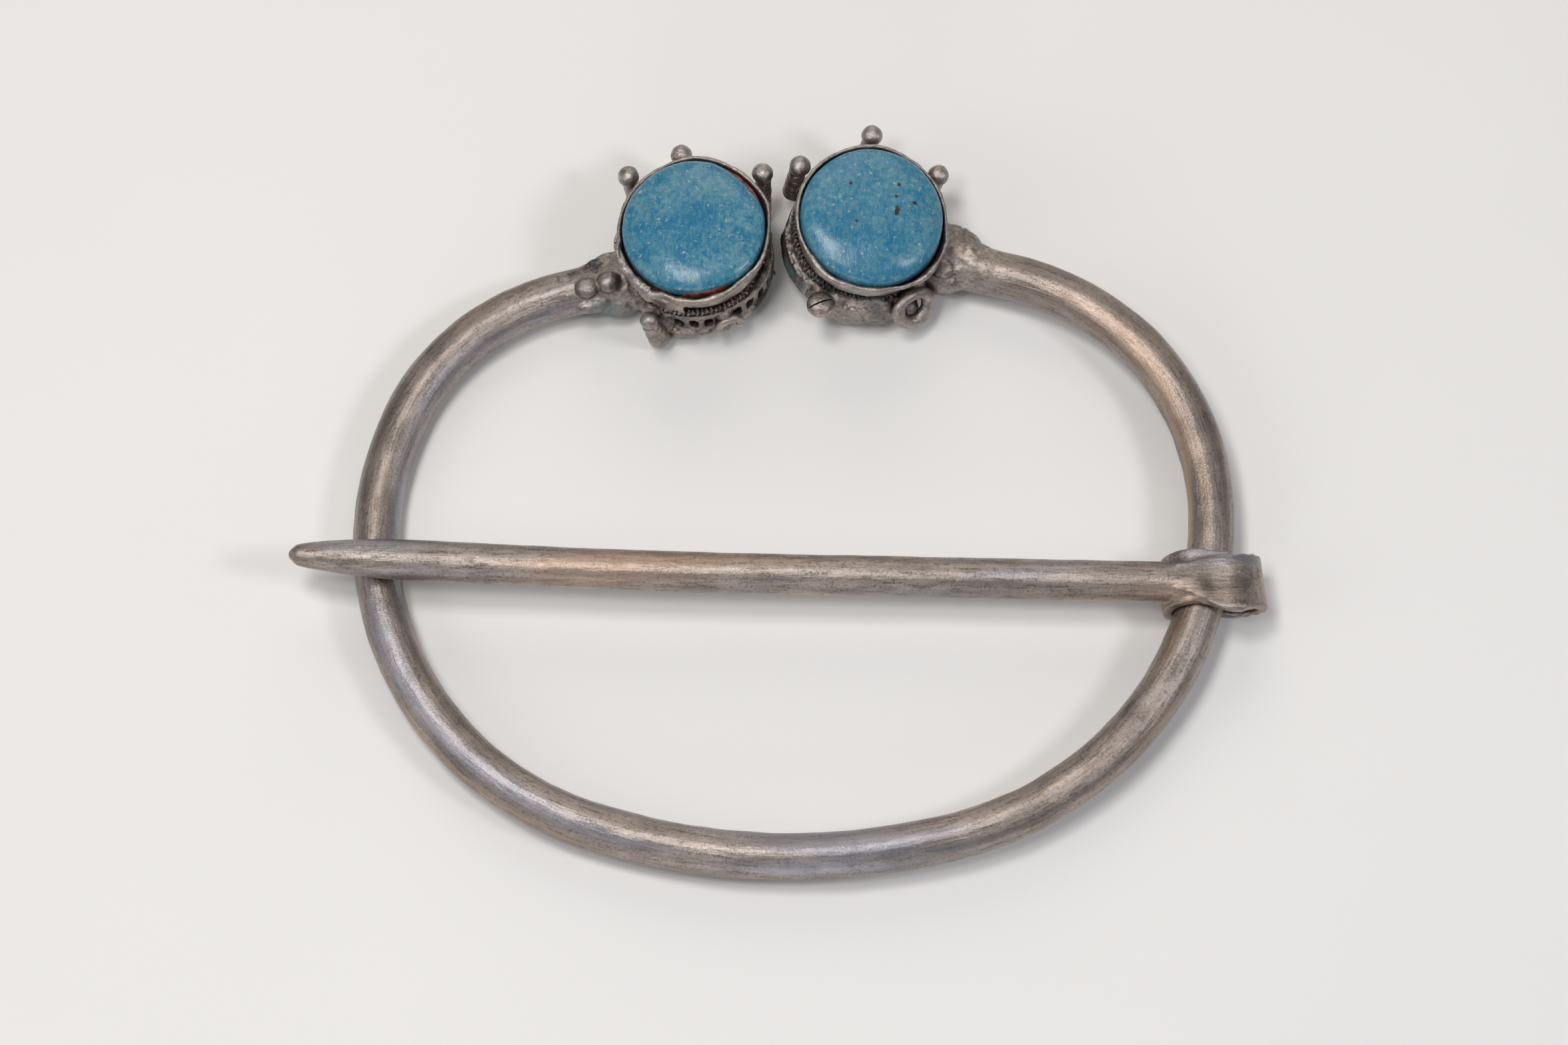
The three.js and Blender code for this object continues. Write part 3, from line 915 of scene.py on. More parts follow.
@dataclass
class Hoop:
    """The oval hoop of heavy round wire with its two solder collars."""

    wire_radius: float = 1.9
    depth: float = 27.8
    bottom_radius: float = 50.0
    drum_radius: float = 6.2
    seat_gap: float = 0.6
    step: float = 0.42
    wire_sides: int = 56
    left: SideOfHoop = SideOfHoop(-1, 33.65, -0.7, 24.0, 18.45, -7.65, 23.25)
    right: SideOfHoop = SideOfHoop(1, 33.7, 0.7, 5.5, 20.8, 5.2, 24.75)
    origin: Triple = (1.06133, -1.90544, 2.61486)
    tilt: float = -0.98922
    flats: tuple[tuple[float, float, float], ...] = ((62, 30, 0.035), (118, 26, 0.03), (15, 32, 0.035), (165, 28, 0.03))
    line: list[Bend] = field(default_factory=list)

    def frame(self) -> Matrix:
        """The frame of the hoop's own plane."""
        return shift(*self.origin) @ turn(self.tilt, "Y")

    def bends(self, side: SideOfHoop) -> list[tuple[Vector, float, float, float]]:
        """Works out one side's bends from the lowest point to the seat.

        Args:
            side: the side.

        Returns:
            (centre, radius, from angle, to angle) of each bend, angles measured up from the outward direction.
        """
        rise = self.bottom_radius - self.depth - side.waist
        side_radius = (self.bottom_radius**2 - side.half_width**2 - rise**2) / (
            2 * (self.bottom_radius - side.half_width)
        )
        side_centre = Vector((side.side * (side.half_width - side_radius), side.waist))
        start = math.radians(side.shoulder_start)
        offset = side_radius - side.shoulder_radius
        shoulder = side_centre + Vector((side.side * offset * math.cos(start), offset * math.sin(start)))
        to_seat = Vector((side.terminal_x, side.terminal_y)) - shoulder
        end = math.atan2(to_seat.y, side.side * to_seat.x) - math.acos(side.shoulder_radius / to_seat.length)
        low = math.atan2(side.waist - (self.bottom_radius - self.depth), side.half_width - side_radius)
        return [
            (Vector((0, self.bottom_radius - self.depth)), self.bottom_radius, -math.pi / 2, low),
            (side_centre, side_radius, low, start),
            (shoulder, side.shoulder_radius, start, end),
        ]

    def lay_out(self) -> None:
        """Lays the centre line from the left seat round to the right one."""
        left, right = self.bends(self.left), self.bends(self.right)
        stations: list[tuple[Vector, float, float, float]] = []
        for centre, radius, low, high in reversed(left):
            stations.append((centre, radius, math.pi - high, math.pi - low))
        for centre, radius, low, high in right:
            stations.append((centre, radius, low, high))
        run = 0.0
        self.line = []
        first = self.arc_point(stations[0][0], stations[0][1], stations[0][2])
        seat = Vector((self.left.terminal_x, self.left.terminal_y))
        self.line.append(self.straight(seat, first, run))
        run += self.line[-1].length
        for centre, radius, start, end in stations:
            begins = self.arc_point(centre, radius, start)
            sweep = end - start
            length = abs(sweep) * radius
            self.line.append(Bend(begins, centre, radius, sweep, start, length, run))
            run += length
        last = self.arc_point(stations[-1][0], stations[-1][1], stations[-1][3])
        self.line.append(self.straight(last, Vector((self.right.terminal_x, self.right.terminal_y)), run))

    @staticmethod
    def arc_point(centre: Vector, radius: float, angle: float) -> Vector:
        """A point of an arc."""
        return centre + Vector((math.cos(angle), math.sin(angle))) * radius

    @staticmethod
    def straight(start: Vector, end: Vector, run: float) -> Bend:
        """A straight stretch."""
        way = end - start
        return Bend(start, end, 0.0, 0.0, math.atan2(way.y, way.x), way.length, run)

    def wire(self) -> bpy.types.Object:
        """Bends the wire along the centre line from drum to drum.

        Returns:
            The wire, in the hoop's own plane.
        """
        first, last = self.line[0], self.line[-1]
        way = Vector((math.cos(first.heading), math.sin(first.heading)))
        begin = first.start + way * min(self.drum_radius + self.seat_gap, first.length - 0.2)
        Bench.clear()
        bpy.ops.mesh.primitive_circle_add(
            vertices=self.wire_sides,
            radius=self.wire_radius * MM,
            fill_type="NGON",
            location=(begin.x * MM, begin.y * MM, 0),
            rotation=(math.pi / 2, 0, first.heading + math.pi / 2),
        )
        wire = bpy.context.object
        Bench.settle(wire)
        with Bench.editing(wire):
            bpy.ops.mesh.select_all(action="SELECT")
            self.extrude_straight(way, (first.start + way * first.length - begin).length)
            for bend in self.line[1:-1]:
                steps = max(4, round(bend.length / self.step))
                bpy.ops.mesh.spin(
                    steps=steps,
                    angle=-bend.sweep,
                    center=(bend.centre.x * MM, bend.centre.y * MM, 0),
                    axis=(0, 0, 1),
                )
            way = Vector((math.cos(last.heading), math.sin(last.heading)))
            self.extrude_straight(way, max(0.4, last.length - self.drum_radius - self.seat_gap))
            Bench.close_up()
        return wire

    def extrude_straight(self, way: Vector, length: float) -> None:
        """Draws the selected ring out along a straight.

        Args:
            way: the direction.
            length: how far.
        """
        steps = max(1, round(length / self.step))
        for _ in range(steps):
            step = Vector((way.x, way.y, 0)) * (length / steps * MM)
            bpy.ops.mesh.extrude_region_move(TRANSFORM_OT_translate={"value": step})

    def run_of(self, rows: np.ndarray) -> tuple[np.ndarray, np.ndarray]:
        """Says how far along the wire and how far outside its centre line places lie.

        Args:
            rows: places in the hoop's own plane, in millimetres.

        Returns:
            The run along the wire and the offset outwards.
        """
        best = np.full(len(rows), 1e9)
        run = np.zeros(len(rows))
        offset = np.zeros(len(rows))
        for bend in self.line:
            if bend.radius:
                delta = rows[:, :2] - np.array(bend.centre)
                turned = np.mod(np.arctan2(delta[:, 1], delta[:, 0]) - bend.heading + 1e-6, math.tau)
                away = np.linalg.norm(delta, axis=1) - bend.radius
                beyond = np.where(turned <= bend.sweep + 2e-3, 0, 1e6)
                along = bend.run + turned * bend.radius
            else:
                delta = rows[:, :2] - np.array(bend.start)
                way = np.array([math.cos(bend.heading), math.sin(bend.heading)])
                along = bend.run + delta @ way
                away = delta @ np.array([way[1], -way[0]])
                inside = (delta @ way > -0.5) & (delta @ way < bend.length + 0.5)
                beyond = np.where(inside, 0, 1e6)
            score = np.abs(away) + beyond
            better = score < best
            best[better] = score[better]
            run[better] = along[better]
            offset[better] = away[better]
        return run, offset

    def mark_run(self, wire: bpy.types.Object, length_scale: float = 0.1) -> None:
        """Stores where each vertex lies along and round the wire, for streaks that follow it.

        Args:
            wire: the wire, in the hoop's own plane.
            length_scale: how much the pattern is drawn out along the wire.
        """
        rows = places(wire)
        run, offset = self.run_of(rows)
        marks = wire.data.attributes.new("wire_run", "FLOAT_VECTOR", "POINT")
        values = np.stack([run * length_scale, offset, rows[:, 2]], axis=1)
        marks.data.foreach_set("vector", values.ravel())

    def flatten(self, wire: bpy.types.Object) -> None:
        """Gives the wire the long soft flats that forging left along it.

        Args:
            wire: the wire, in the hoop's own plane.
        """
        for index, (angle, width, depth) in enumerate(self.flats):

            def weight(rows: np.ndarray, angle: float = angle, width: float = width, index: int = index) -> np.ndarray:
                run, offset = self.run_of(rows)
                round_angle = np.degrees(np.arctan2(rows[:, 2], offset))
                drift = 7 * np.sin(run / 17 + index * 2.1)
                away = np.abs(np.mod(round_angle - angle - drift + 180, 360) - 180)
                fade = 0.6 + 0.4 * np.sin(run / 11 + index * 1.3)
                return eased(np.clip(1 - away / width, 0, 1)) * fade

            group = Bench.weigh(wire, f"flat_{index}", weight)
            Bench.swell(wire, -depth * 2, group)

    def collar(self, name: str, side: SideOfHoop) -> tuple[bpy.types.Object, Matrix]:
        """Starts the solder collar of one seat: a cone from the wire to the drum.

        Args:
            name: the name of the piece.
            side: its side of the hoop.

        Returns:
            The collar and its frame, with +X along the wire away from the drum's axis and +Y outwards.
        """
        bend = self.line[0] if side.side < 0 else self.line[-1]
        heading = bend.heading if side.side < 0 else bend.heading + math.pi
        frame = self.frame() @ shift(side.terminal_x, side.terminal_y, 0) @ turn(math.degrees(heading), "Z")
        Bench.clear()
        bpy.ops.mesh.primitive_cylinder_add(
            vertices=48, radius=self.wire_radius * 0.985 * MM, depth=0.6 * MM, rotation=(0, math.pi / 2, 0)
        )
        cone = bpy.context.object
        cone.name = name
        Bench.settle(cone, shift(11.6 if side.side < 0 else 13.2, 0, 0))
        return cone, frame


@dataclass(frozen=True)
class Lump:
    """A grain or a lump of solder on a collar, in the collar's frame."""

    along: float
    outward: float
    up: float
    radius: float
    squash: Triple = (1, 1, 1)


@dataclass
class Collars:
    """The swollen, lumpy seats where the hoop is soldered to the drums."""

    hoop: Hoop
    swell_steps: int = 14
    swell_height: float = 0.06
    swell_width: float = 0.8
    drum_gap: float = 0.04
    left_reach: float = 11.4
    right_reach: float = 13.0
    right_sweep: float = 1.3
    left_lumps: tuple[Lump, ...] = (
        Lump(7.9, 0.75, 1.95, 0.85, (1.1, 1.05, 1)),
        Lump(9.7, 0.75, 1.9, 0.76, (1.2, 1.1, 0.9)),
        Lump(8.4, -0.95, 1.5, 0.8, (1.6, 1, 0.5)),
        Lump(7.4, -1.3, 0.6, 1.1, (1.4, 1, 1)),
        Lump(9.4, 1.7, 0.5, 0.9, (1.8, 0.8, 0.9)),
        Lump(7.2, 1.6, -0.3, 1.35, (1.5, 1, 1)),
    )
    right_lumps: tuple[Lump, ...] = (
        Lump(8.3, 0.6, 1.75, 0.5, (1.2, 1, 0.8)),
        Lump(9.3, 0.75, 1.7, 0.55, (1.2, 1, 0.8)),
        Lump(7.6, -1.2, 1.7, 0.9, (1.1, 1, 0.7)),
        Lump(8.8, -0.5, 1.5, 0.9, (1.5, 1, 0.6)),
        Lump(10.6, 0.1, 1.45, 0.75, (1, 1.4, 0.7)),
        Lump(7.4, 1.7, 0.2, 1.6, (1.8, 1, 0.9)),
        Lump(7.2, -1.4, 0.0, 1.5, (1.5, 1, 1)),
    )

    def build(self, side: SideOfHoop) -> bpy.types.Object:
        """Builds one collar in its place.

        Args:
            side: its side of the hoop.

        Returns:
            The collar.
        """
        left = side.side < 0
        reach = self.left_reach if left else self.right_reach
        sweep = 0.0 if left else self.right_sweep
        lumps = self.left_lumps if left else self.right_lumps
        cone, frame = self.hoop.collar("collar", side)
        start, end = reach - 0.1, self.hoop.drum_radius - 1.2
        with Bench.editing(cone):
            Bench.pick(cone, lambda place: place.x < reach)
            bpy.ops.mesh.extrude_region_move(TRANSFORM_OT_translate={"value": (-0.4 * MM, 0, 0)})
            at, aside, width, height = start - 0.3, 0.0, 1.0, 1.0
            for index in range(1, self.swell_steps + 1):
                share = index / self.swell_steps
                flare = max(0.0, (share - 0.12) / 0.88) ** (1.9 if left else 1.5)
                new_width = 1 + self.swell_height * share + self.swell_width * flare
                new_height = 1 + self.swell_height * min(1, share * 3) + self.swell_height * flare
                step = (start - end) / self.swell_steps
                at -= step
                rise = sweep * flare - aside
                aside += rise
                bpy.ops.mesh.extrude_region_move(TRANSFORM_OT_translate={"value": (-step * MM, rise * MM, 0)})
                bpy.ops.transform.resize(
                    value=(1, new_width / width, new_height / height), center_override=(at * MM, aside * MM, 0)
                )
                width, height = new_width, new_height
        parts = [cone]
        for index, lump in enumerate(lumps):
            parts.append(
                Bench.ball(f"lump_{index}", lump.radius, (lump.along, lump.outward, lump.up), lump.squash)
            )
        collar = Bench.join("collar", parts)
        Bench.fuse(collar, 0.11, 8)
        room = self.hoop.drum_radius + self.drum_gap
        Bench.cut(collar, Bench.turned("drum_room", [(0, -6), (room, -6), (room, 9), (0, 9)], 96))
        Bench.settle(collar, frame)
        Bench.batter(collar, 2.0, 0.2)
        Bench.batter(collar, 0.5, 0.07)
        Bench.soften(collar, 60)
        return collar


def build_hoop(hoop: Hoop) -> bpy.types.Object:
    """Bends the wire, adds both collars, and dresses the hoop.

    Args:
        hoop: its sizes.

    Returns:
        The hoop in its place.
    """
    hoop.lay_out()
    wire = hoop.wire()
    hoop.flatten(wire)
    hoop.mark_run(wire)
    Bench.settle(wire, hoop.frame())
    Bench.batter(wire, 4.5, 0.16)
    Bench.batter(wire, 1.3, 0.07)
    Bench.soften(wire, 60)
    wire.data.materials.append(SilverFinish("wire_silver", grain=Grain.ALONG_WIRE).material())
    collars = Collars(hoop)
    solder = SilverFinish(
        "collar_silver",
        bright=(0.46, 0.41, 0.37),
        middle=(0.25, 0.22, 0.2),
        patina=0.55,
        tinge=0.15,
        grime=0.85,
        wear=0.6,
        verdigris=0.45,
        green_at=(
            ((-13.9, 17.4, 2.0), 1.5),
            ((-12.4, 16.4, 1.0), 1.3),
            ((-14.6, 17.0, 1.0), 1.2),
            ((13.6, 20.2, 3.4), 1.3),
        ),
        black_at=(
            ((-15.3, 20.1, 3.6), 1.2),
            ((-16.9, 19.3, 3.4), 1.0),
            ((17.6, 20.6, 3.6), 1.0),
            ((-13.0, 18.2, 2.2), 0.9),
        ),
    ).material()
    pieces = [wire]
    for side in (hoop.left, hoop.right):
        collar = collars.build(side)
        collar.data.materials.clear()
        collar.data.materials.append(solder)
        pieces.append(collar)
    whole = Bench.join("hoop_worn", pieces)
    return dress(whole, Body.RING, Slot.SILVER, None, "hoop")


# Pin


@dataclass
class Pin:
    """The loose pin: a blunt point, a long shank and a strap beaten flat and wrapped round the hoop."""

    radius: float = 1.63
    length: float = 73.25
    point_length: float = 9.2
    point_radius: float = 0.72
    kink: float = 44.0
    kink_angle: float = 1.7
    kink_softness: float = 6.0
    yaw: float = 0.9
    head: tuple[float, float] = (32.9615, -5.65)
    strap_thickness: float = 0.84
    strap_width: float = 4.5
    tongue_width: float = 2.2
    tongue_start: float = -2.4
    skew: float = 7.6
    aside_of_strap: float = -0.42
    back_of_strap: float = 0.95
    tail: float = 2.3
    under_width: float = 3.8
    end_width: float = 4.5
    slack: float = 1.87
    lap: float = 2.6
    curl_radius: float = 2.54
    curl_start: float = -0.525
    neck_start: float = -3.3
    neck_end: float = 1.6
    neck_rise: float = 2.17
    neck_reach: float = 2.6
    neck_height: float = 1.55
    far_height: float = 3.583
    far_wire: float = -66.132
    sides: int = 48

    def shank_radius(self, from_point: float) -> float:
        """The shank's radius at a distance from its point."""
        nose = math.sqrt(min(1.0, (from_point + 0.02) / self.point_radius))
        taper = 1 - (1 - min(1.0, from_point / self.point_length)) ** 2
        return nose * (self.point_radius + (self.radius - self.point_radius) * taper)

    def aside(self, x: float) -> float:
        """How far the shank swings aside beyond its kink."""
        past = -x - self.kink
        return math.tan(math.radians(self.kink_angle)) * (math.hypot(past, self.kink_softness) + past) / 2

    def drift(self, x: float) -> float:
        """How far the middle lies aside at a place along the pin, the flattened neck among them."""
        share = min(1.0, max(0.0, (x - self.neck_start) / (self.neck_end - self.neck_start)))
        return self.aside(x) + self.aside_of_strap * eased(share)

    def height(self, x: float) -> float:
        """The height of the shank's middle above the hoop's plane."""
        slope = (self.far_height - self.neck_height) / (self.far_wire - self.neck_start)
        return self.neck_height + (x - self.neck_start) * slope

    def shank(self) -> bpy.types.Object:
        """Draws out the shank from its point to the neck, which flattens into the strap.

        Returns:
            The shank, in the pin's own frame.
        """
        steps = [0.0, 0.03, 0.1, 0.22, 0.4, 0.65, 1.0, 1.5, 2.1, 2.9, 3.8, 4.8, 5.9, 7.1, 8.2, 9.2]
        steps += list(np.linspace(10.5, self.length + self.neck_start, 46))
        rings = []
        for step in steps:
            x, radius = step - self.length, self.shank_radius(step)
            rings.append((x, self.height(x), radius, radius))
        under_shank = self.height(self.neck_start) - self.radius
        for index in range(1, 9):
            share = index / 8
            ease = eased(share)
            x = self.neck_start + (self.neck_end - self.neck_start) * share
            top = (self.height(x) + self.radius) * (1 - ease) + (self.lap + self.strap_thickness / 2) * ease
            over_wire = self.neck_rise * math.sqrt(max(0.0, 1 - (min(x, 0.0) / self.neck_reach) ** 2))
            bottom = max(under_shank, over_wire)
            half_width = self.radius * (1 - ease) + (self.strap_width / 2 - 0.15) * ease
            rings.append((x, (top + bottom) / 2, half_width, max(0.4, (top - bottom) / 2)))
        x, z, half_width, half_height = rings[0]
        Bench.clear()
        bpy.ops.mesh.primitive_circle_add(
            vertices=self.sides,
            radius=half_width * MM,
            fill_type="NGON",
            location=(x * MM, self.aside(x) * MM, z * MM),
            rotation=(0, math.pi / 2, 0),
        )
        shank = bpy.context.object
        Bench.settle(shank)
        with Bench.editing(shank):
            bpy.ops.mesh.select_all(action="SELECT")
            for (x0, z0, w0, h0), (x1, z1, w1, h1) in zip(rings, rings[1:]):
                y0, y1 = self.drift(x0), self.drift(x1)
                step = Vector((x1 - x0, y1 - y0, z1 - z0)) * MM
                bpy.ops.mesh.extrude_region_move(TRANSFORM_OT_translate={"value": step})
                bpy.ops.transform.resize(
                    value=(1, w1 / w0, h1 / h0), center_override=Vector((x1, y1, z1)) * MM
                )
            Bench.close_up()
        return shank

    def strap(self) -> bpy.types.Object:
        """Wraps the flat strap round the hoop: over, round askew and back under, its end curling up.

        Returns:
            The strap, in the pin's own frame.
        """
        askew = math.radians(self.skew)
        row = Vector((-math.sin(askew), math.cos(askew), 0))
        ahead = Vector((math.cos(askew), math.sin(askew), 0))
        Bench.clear()
        bpy.ops.mesh.primitive_plane_add(size=MM)
        strap = bpy.context.object
        with Bench.editing(strap):
            bpy.ops.mesh.select_all(action="SELECT")
            bpy.ops.transform.resize(value=(0.2, self.tongue_width, 1))
            Bench.push((self.tongue_start, 0, self.lap))
            Bench.pick(strap, lambda place: place.x > self.tongue_start)
            middle, width, count = Vector((self.tongue_start, 0, self.lap)), self.tongue_width, 9
            for index in range(1, count + 1):
                ease = eased(min(1.0, index / count * 1.12))
                x = self.tongue_start + (self.slack - self.tongue_start) * index / count
                step = Vector((x, self.aside_of_strap * ease, self.lap)) - middle
                bpy.ops.mesh.extrude_region_move(TRANSFORM_OT_translate={"value": step * MM})
                middle += step
                new_width = self.tongue_width + (self.strap_width - self.tongue_width) * ease
                bpy.ops.transform.resize(value=(1, new_width / width, 1), center_override=middle * MM)
                bpy.ops.transform.rotate(value=-askew / count, orient_axis="Z", center_override=middle * MM)
                width = new_width
            bend = Vector((middle.x, middle.y, 0))
            for index in range(1, 9):
                bpy.ops.mesh.spin(steps=3, angle=-math.pi / 8, center=bend * MM, axis=row)
                new_width = self.strap_width + (self.under_width - self.strap_width) * max(0, index - 3) / 5
                self.widen(new_width / width, row)
                bpy.ops.transform.translate(value=row * (self.back_of_strap / 8 * MM))
                width = new_width
            middle = bend + row * self.back_of_strap + Vector((0, 0, -self.lap))
            step = -ahead * ((middle.x - self.curl_start) / ahead.x / 6)
            for _ in range(6):
                bpy.ops.mesh.extrude_region_move(TRANSFORM_OT_translate={"value": step * MM})
            middle += step * 6
            centre = middle + Vector((0, 0, self.curl_radius))
            for index in range(1, 9):
                bpy.ops.mesh.spin(steps=2, angle=-math.pi / 8, center=centre * MM, axis=row)
                new_width = self.under_width + (self.end_width - self.under_width) * min(1, index / 3)
                self.widen(new_width / width, row)
                width = new_width
                straighten = Matrix.Rotation(-askew / 8, 3, "Z")
                row = straighten @ row
                bpy.ops.transform.rotate(value=askew / 8, orient_axis="Z", center_override=centre * MM)
            for _ in range(5):
                bpy.ops.mesh.extrude_region_move(TRANSFORM_OT_translate={"value": (self.tail / 5 * MM, 0, 0)})
                bpy.ops.transform.resize(value=(1, 0.97, 1))
            Bench.close_up()
            bpy.ops.mesh.subdivide(number_cuts=2)
        return strap

    @staticmethod
    def widen(share: float, row: Vector) -> None:
        """Widens the selected row of the strap about its middle.

        Args:
            share: new width over old.
            row: the way the row runs.
        """
        across = Vector((row.y, -row.x, 0))
        turned_row = Matrix((across, row, Vector((0, 0, 1))))
        bpy.ops.transform.resize(value=(1, share, 1), orient_type="GLOBAL", orient_matrix=turned_row.transposed())

    def build(self, hoop: Hoop) -> bpy.types.Object:
        """Forges the whole pin and sets it on the hoop.

        Args:
            hoop: the hoop that it hangs on.

        Returns:
            The pin in its place.
        """
        strap = self.strap()
        Bench.shape(strap, "SOLIDIFY", thickness=self.strap_thickness * MM, offset=0)
        Bench.shape(strap, "BEVEL", width=0.16 * MM, segments=2, limit_method="ANGLE")
        pin = Bench.join("pin_worn", [self.shank(), strap])
        Bench.fuse(pin, 0.115, 5)
        Bench.swell(pin, 0.2, Bench.weigh(pin, "bump", near((-0.4, -1.0, 3.2), 1.25)))
        Bench.swell(pin, -0.12, Bench.weigh(pin, "hollow", near((0.4, -0.3, 3.1), 2.0)))
        Bench.swell(pin, 0.16, Bench.weigh(pin, "rim", near((2.7, -2.6, 2.6), 1.6)))
        Bench.settle(pin, hoop.frame() @ shift(*self.head, 0) @ turn(-self.yaw, "Z"))
        Bench.batter(pin, 5.0, 0.1)
        Bench.batter(pin, 1.4, 0.035)
        Bench.soften(pin, 60)
        return pin


PIN_FINISH = SilverFinish(
    "pin_silver",
    grain=Grain.ALONG_PIN,
    spin=-1.9,
    patina=0.65,
    grime=0.25,
    wear=0.3,
    # painted shade over the hollow and the right end of the strap's top lap
    shaded_at=(((34.2, -8.0, 6.2), 2.4), ((36.4, -8.6, 6.0), 1.6)),
)


# Terminals


@dataclass(frozen=True)
class Post:
    """A wire-wound cone with a grain on top, beside a drum."""

    bearing: float
    lean: float
    height: float = 4.2
    grain: float = 0.87


@dataclass(frozen=True)
class Blob:
    """A lump or a grain of solder on a drum's wall."""

    bearing: float
    distance: float
    height: float
    radius: float
    squash: Triple = (1, 1, 1)


@dataclass(frozen=True)
class Strip:
    """A torn strip of sheet that still stands off a drum's wall."""

    start: float
    end: float
    distance: float
    low: float
    high: float
    thickness: float = 0.3
    torn_below: bool = False


@dataclass(frozen=True)
class Dent:
    """A place where the bezel's rim is pushed out, in or down."""

    bearing: float
    by: Triple
    reach: float


@dataclass
class Terminal:
    """A drum terminal: plate, openwork gallery, twisted wire, bezel cup, lac, stone and the posts round it."""

    name: str
    origin: Triple
    lean_x: float
    lean_y: float
    open_bays: tuple[float, ...]
    posts: tuple[Post, ...]
    blobs: tuple[Blob, ...]
    strips: tuple[Strip, ...]
    dents: tuple[Dent, ...]
    stone_finish: StoneFinish
    lac_shows: tuple[tuple[float, float, float, float], ...] = ()
    green: Spots = ()
    dirty: Spots = ()
    ground: tuple[tuple[float, float], ...] = ()
    seed: int = 7
    plate_radius: float = 6.1
    plate: float = 0.6
    gallery_radius: float = 6.05
    gallery_wall: float = 0.5
    gallery_foot: float = 0.65
    gallery_top: float = 3.4
    window_width: float = 0.78
    window_height: float = 1.35
    window_sill: float = 1.15
    twist_radius: float = 5.8
    twist_height: float = 3.85
    strand: float = 0.25
    turns: int = 32
    cup_foot: float = 4.3
    rim: float = 7.4
    bezel_radius: float = 6.32
    bezel_foot: float = 5.62
    bezel_wall: float = 0.37
    stone_radius: float = 5.87
    rope_in: tuple[tuple[float, float, float], ...] = ()
    wall_out: tuple[tuple[float, float, float], ...] = ()
    rolls: tuple[tuple[float, float, float, float], ...] = ()
    girdle_top: float = 7.75
    dome: float = 1.15
    dome_fullness: float = 0.74
    flank: float = 3.4
    stone_foot: float = 6.56
    lac_top: float = 6.48
    post_ring: float = 7.3
    post_winds: int = 9
    rope_cuts: int = 639
    cup_aside: tuple[float, float] = (0.0, 0.0)
    cup_depth: float = 1.0
    lips: tuple[Strip, ...] = ()
    melt: int = 2
    drips: int = 46

    def frame(self) -> Matrix:
        """The terminal's frame: its origin under the plate, its axis upright."""
        return shift(*self.origin) @ turn(self.lean_x, "X") @ turn(self.lean_y, "Y")

    def cup_frame(self) -> Matrix:
        """The frame of the cup and what it holds: a little aside, and a little deeper than wide."""
        return self.frame() @ shift(*self.cup_aside, 0) @ Matrix.Scale(self.cup_depth, 4, (0, 1, 0))

    def at(self, bearing: float, distance: float, height: float) -> Triple:
        """A place beside the axis, in the terminal's frame."""
        angle = math.radians(bearing)
        return (distance * math.cos(angle), distance * math.sin(angle), height)

    def base(self) -> bpy.types.Object:
        """The round plate under the drum, its edge worn."""
        edge = self.plate_radius
        profile = [(0.0, 0.0)] + [(r * edge / 12, 0.0) for r in range(1, 12)]
        profile += [(edge - 0.12, 0.0), (edge, 0.12), (edge, 0.42), (edge - 0.15, self.plate)]
        profile += [(r * edge / 6, self.plate) for r in range(5, 0, -1)] + [(0.0, self.plate)]
        plate = Bench.turned(f"{self.name}_plate_worn", profile, 128)
        Bench.settle(plate, self.frame())
        Bench.batter(plate, 2.2, 0.12)
        Bench.batter(plate, 0.7, 0.05)
        return Bench.soften(plate, 50)

    def gallery(self) -> bpy.types.Object:
        """The openwork wall of the drum with its windows, rails, solder lumps and torn strips.

        Returns:
            The gallery in its place.
        """
        outer, foot, top = self.gallery_radius, self.gallery_foot, self.gallery_top
        inner = outer - self.gallery_wall
        rail = 0.14
        wall = Bench.turned(
            "wall",
            [
                (inner, foot),
                (outer + rail, foot),
                (outer + rail, foot + 0.4),
                (outer, foot + 0.5),
                (outer, top - 0.55),
                (outer + rail, top - 0.45),
                (outer + rail, top),
                (inner, top),
                (inner, foot),
            ],
            144,
        )
        if self.open_bays:
            Bench.cut(wall, self.windows())
        with Bench.editing(wall):
            for bearing, by, reach in self.wall_out:
                place = Vector(self.at(bearing, outer, top))
                Bench.pick(wall, lambda spot, place=place: (spot - place).length < 0.5)
                Bench.push(self.at(bearing, by, 0), reach)
        parts = [wall]
        for index, blob in enumerate(self.blobs):
            spot = self.at(blob.bearing, blob.distance, blob.height)
            parts.append(Bench.ball(f"solder_{index}", blob.radius, spot, blob.squash, 3))
        dice = random.Random(self.seed)
        for index in range(self.drips):
            size = dice.uniform(0.16, 0.34)
            height = dice.choice((foot + 0.2, top - 0.15)) + dice.uniform(-0.1, 0.1)
            spot = self.at(dice.uniform(0, 360), outer + dice.uniform(-0.1, 0.12), height)
            parts.append(Bench.ball(f"drip_{index}", size, spot, (1, 1, 0.8), 2))
        for strip in self.strips:
            parts.append(self.torn_strip(strip))
        gallery = Bench.join(f"{self.name}_gallery_worn", parts)
        Bench.fuse(gallery, 0.085, self.melt)
        Bench.settle(gallery, self.frame())
        Bench.batter(gallery, 0.8, 0.16)
        Bench.batter(gallery, 0.3, 0.07)
        return Bench.soften(gallery, 70)

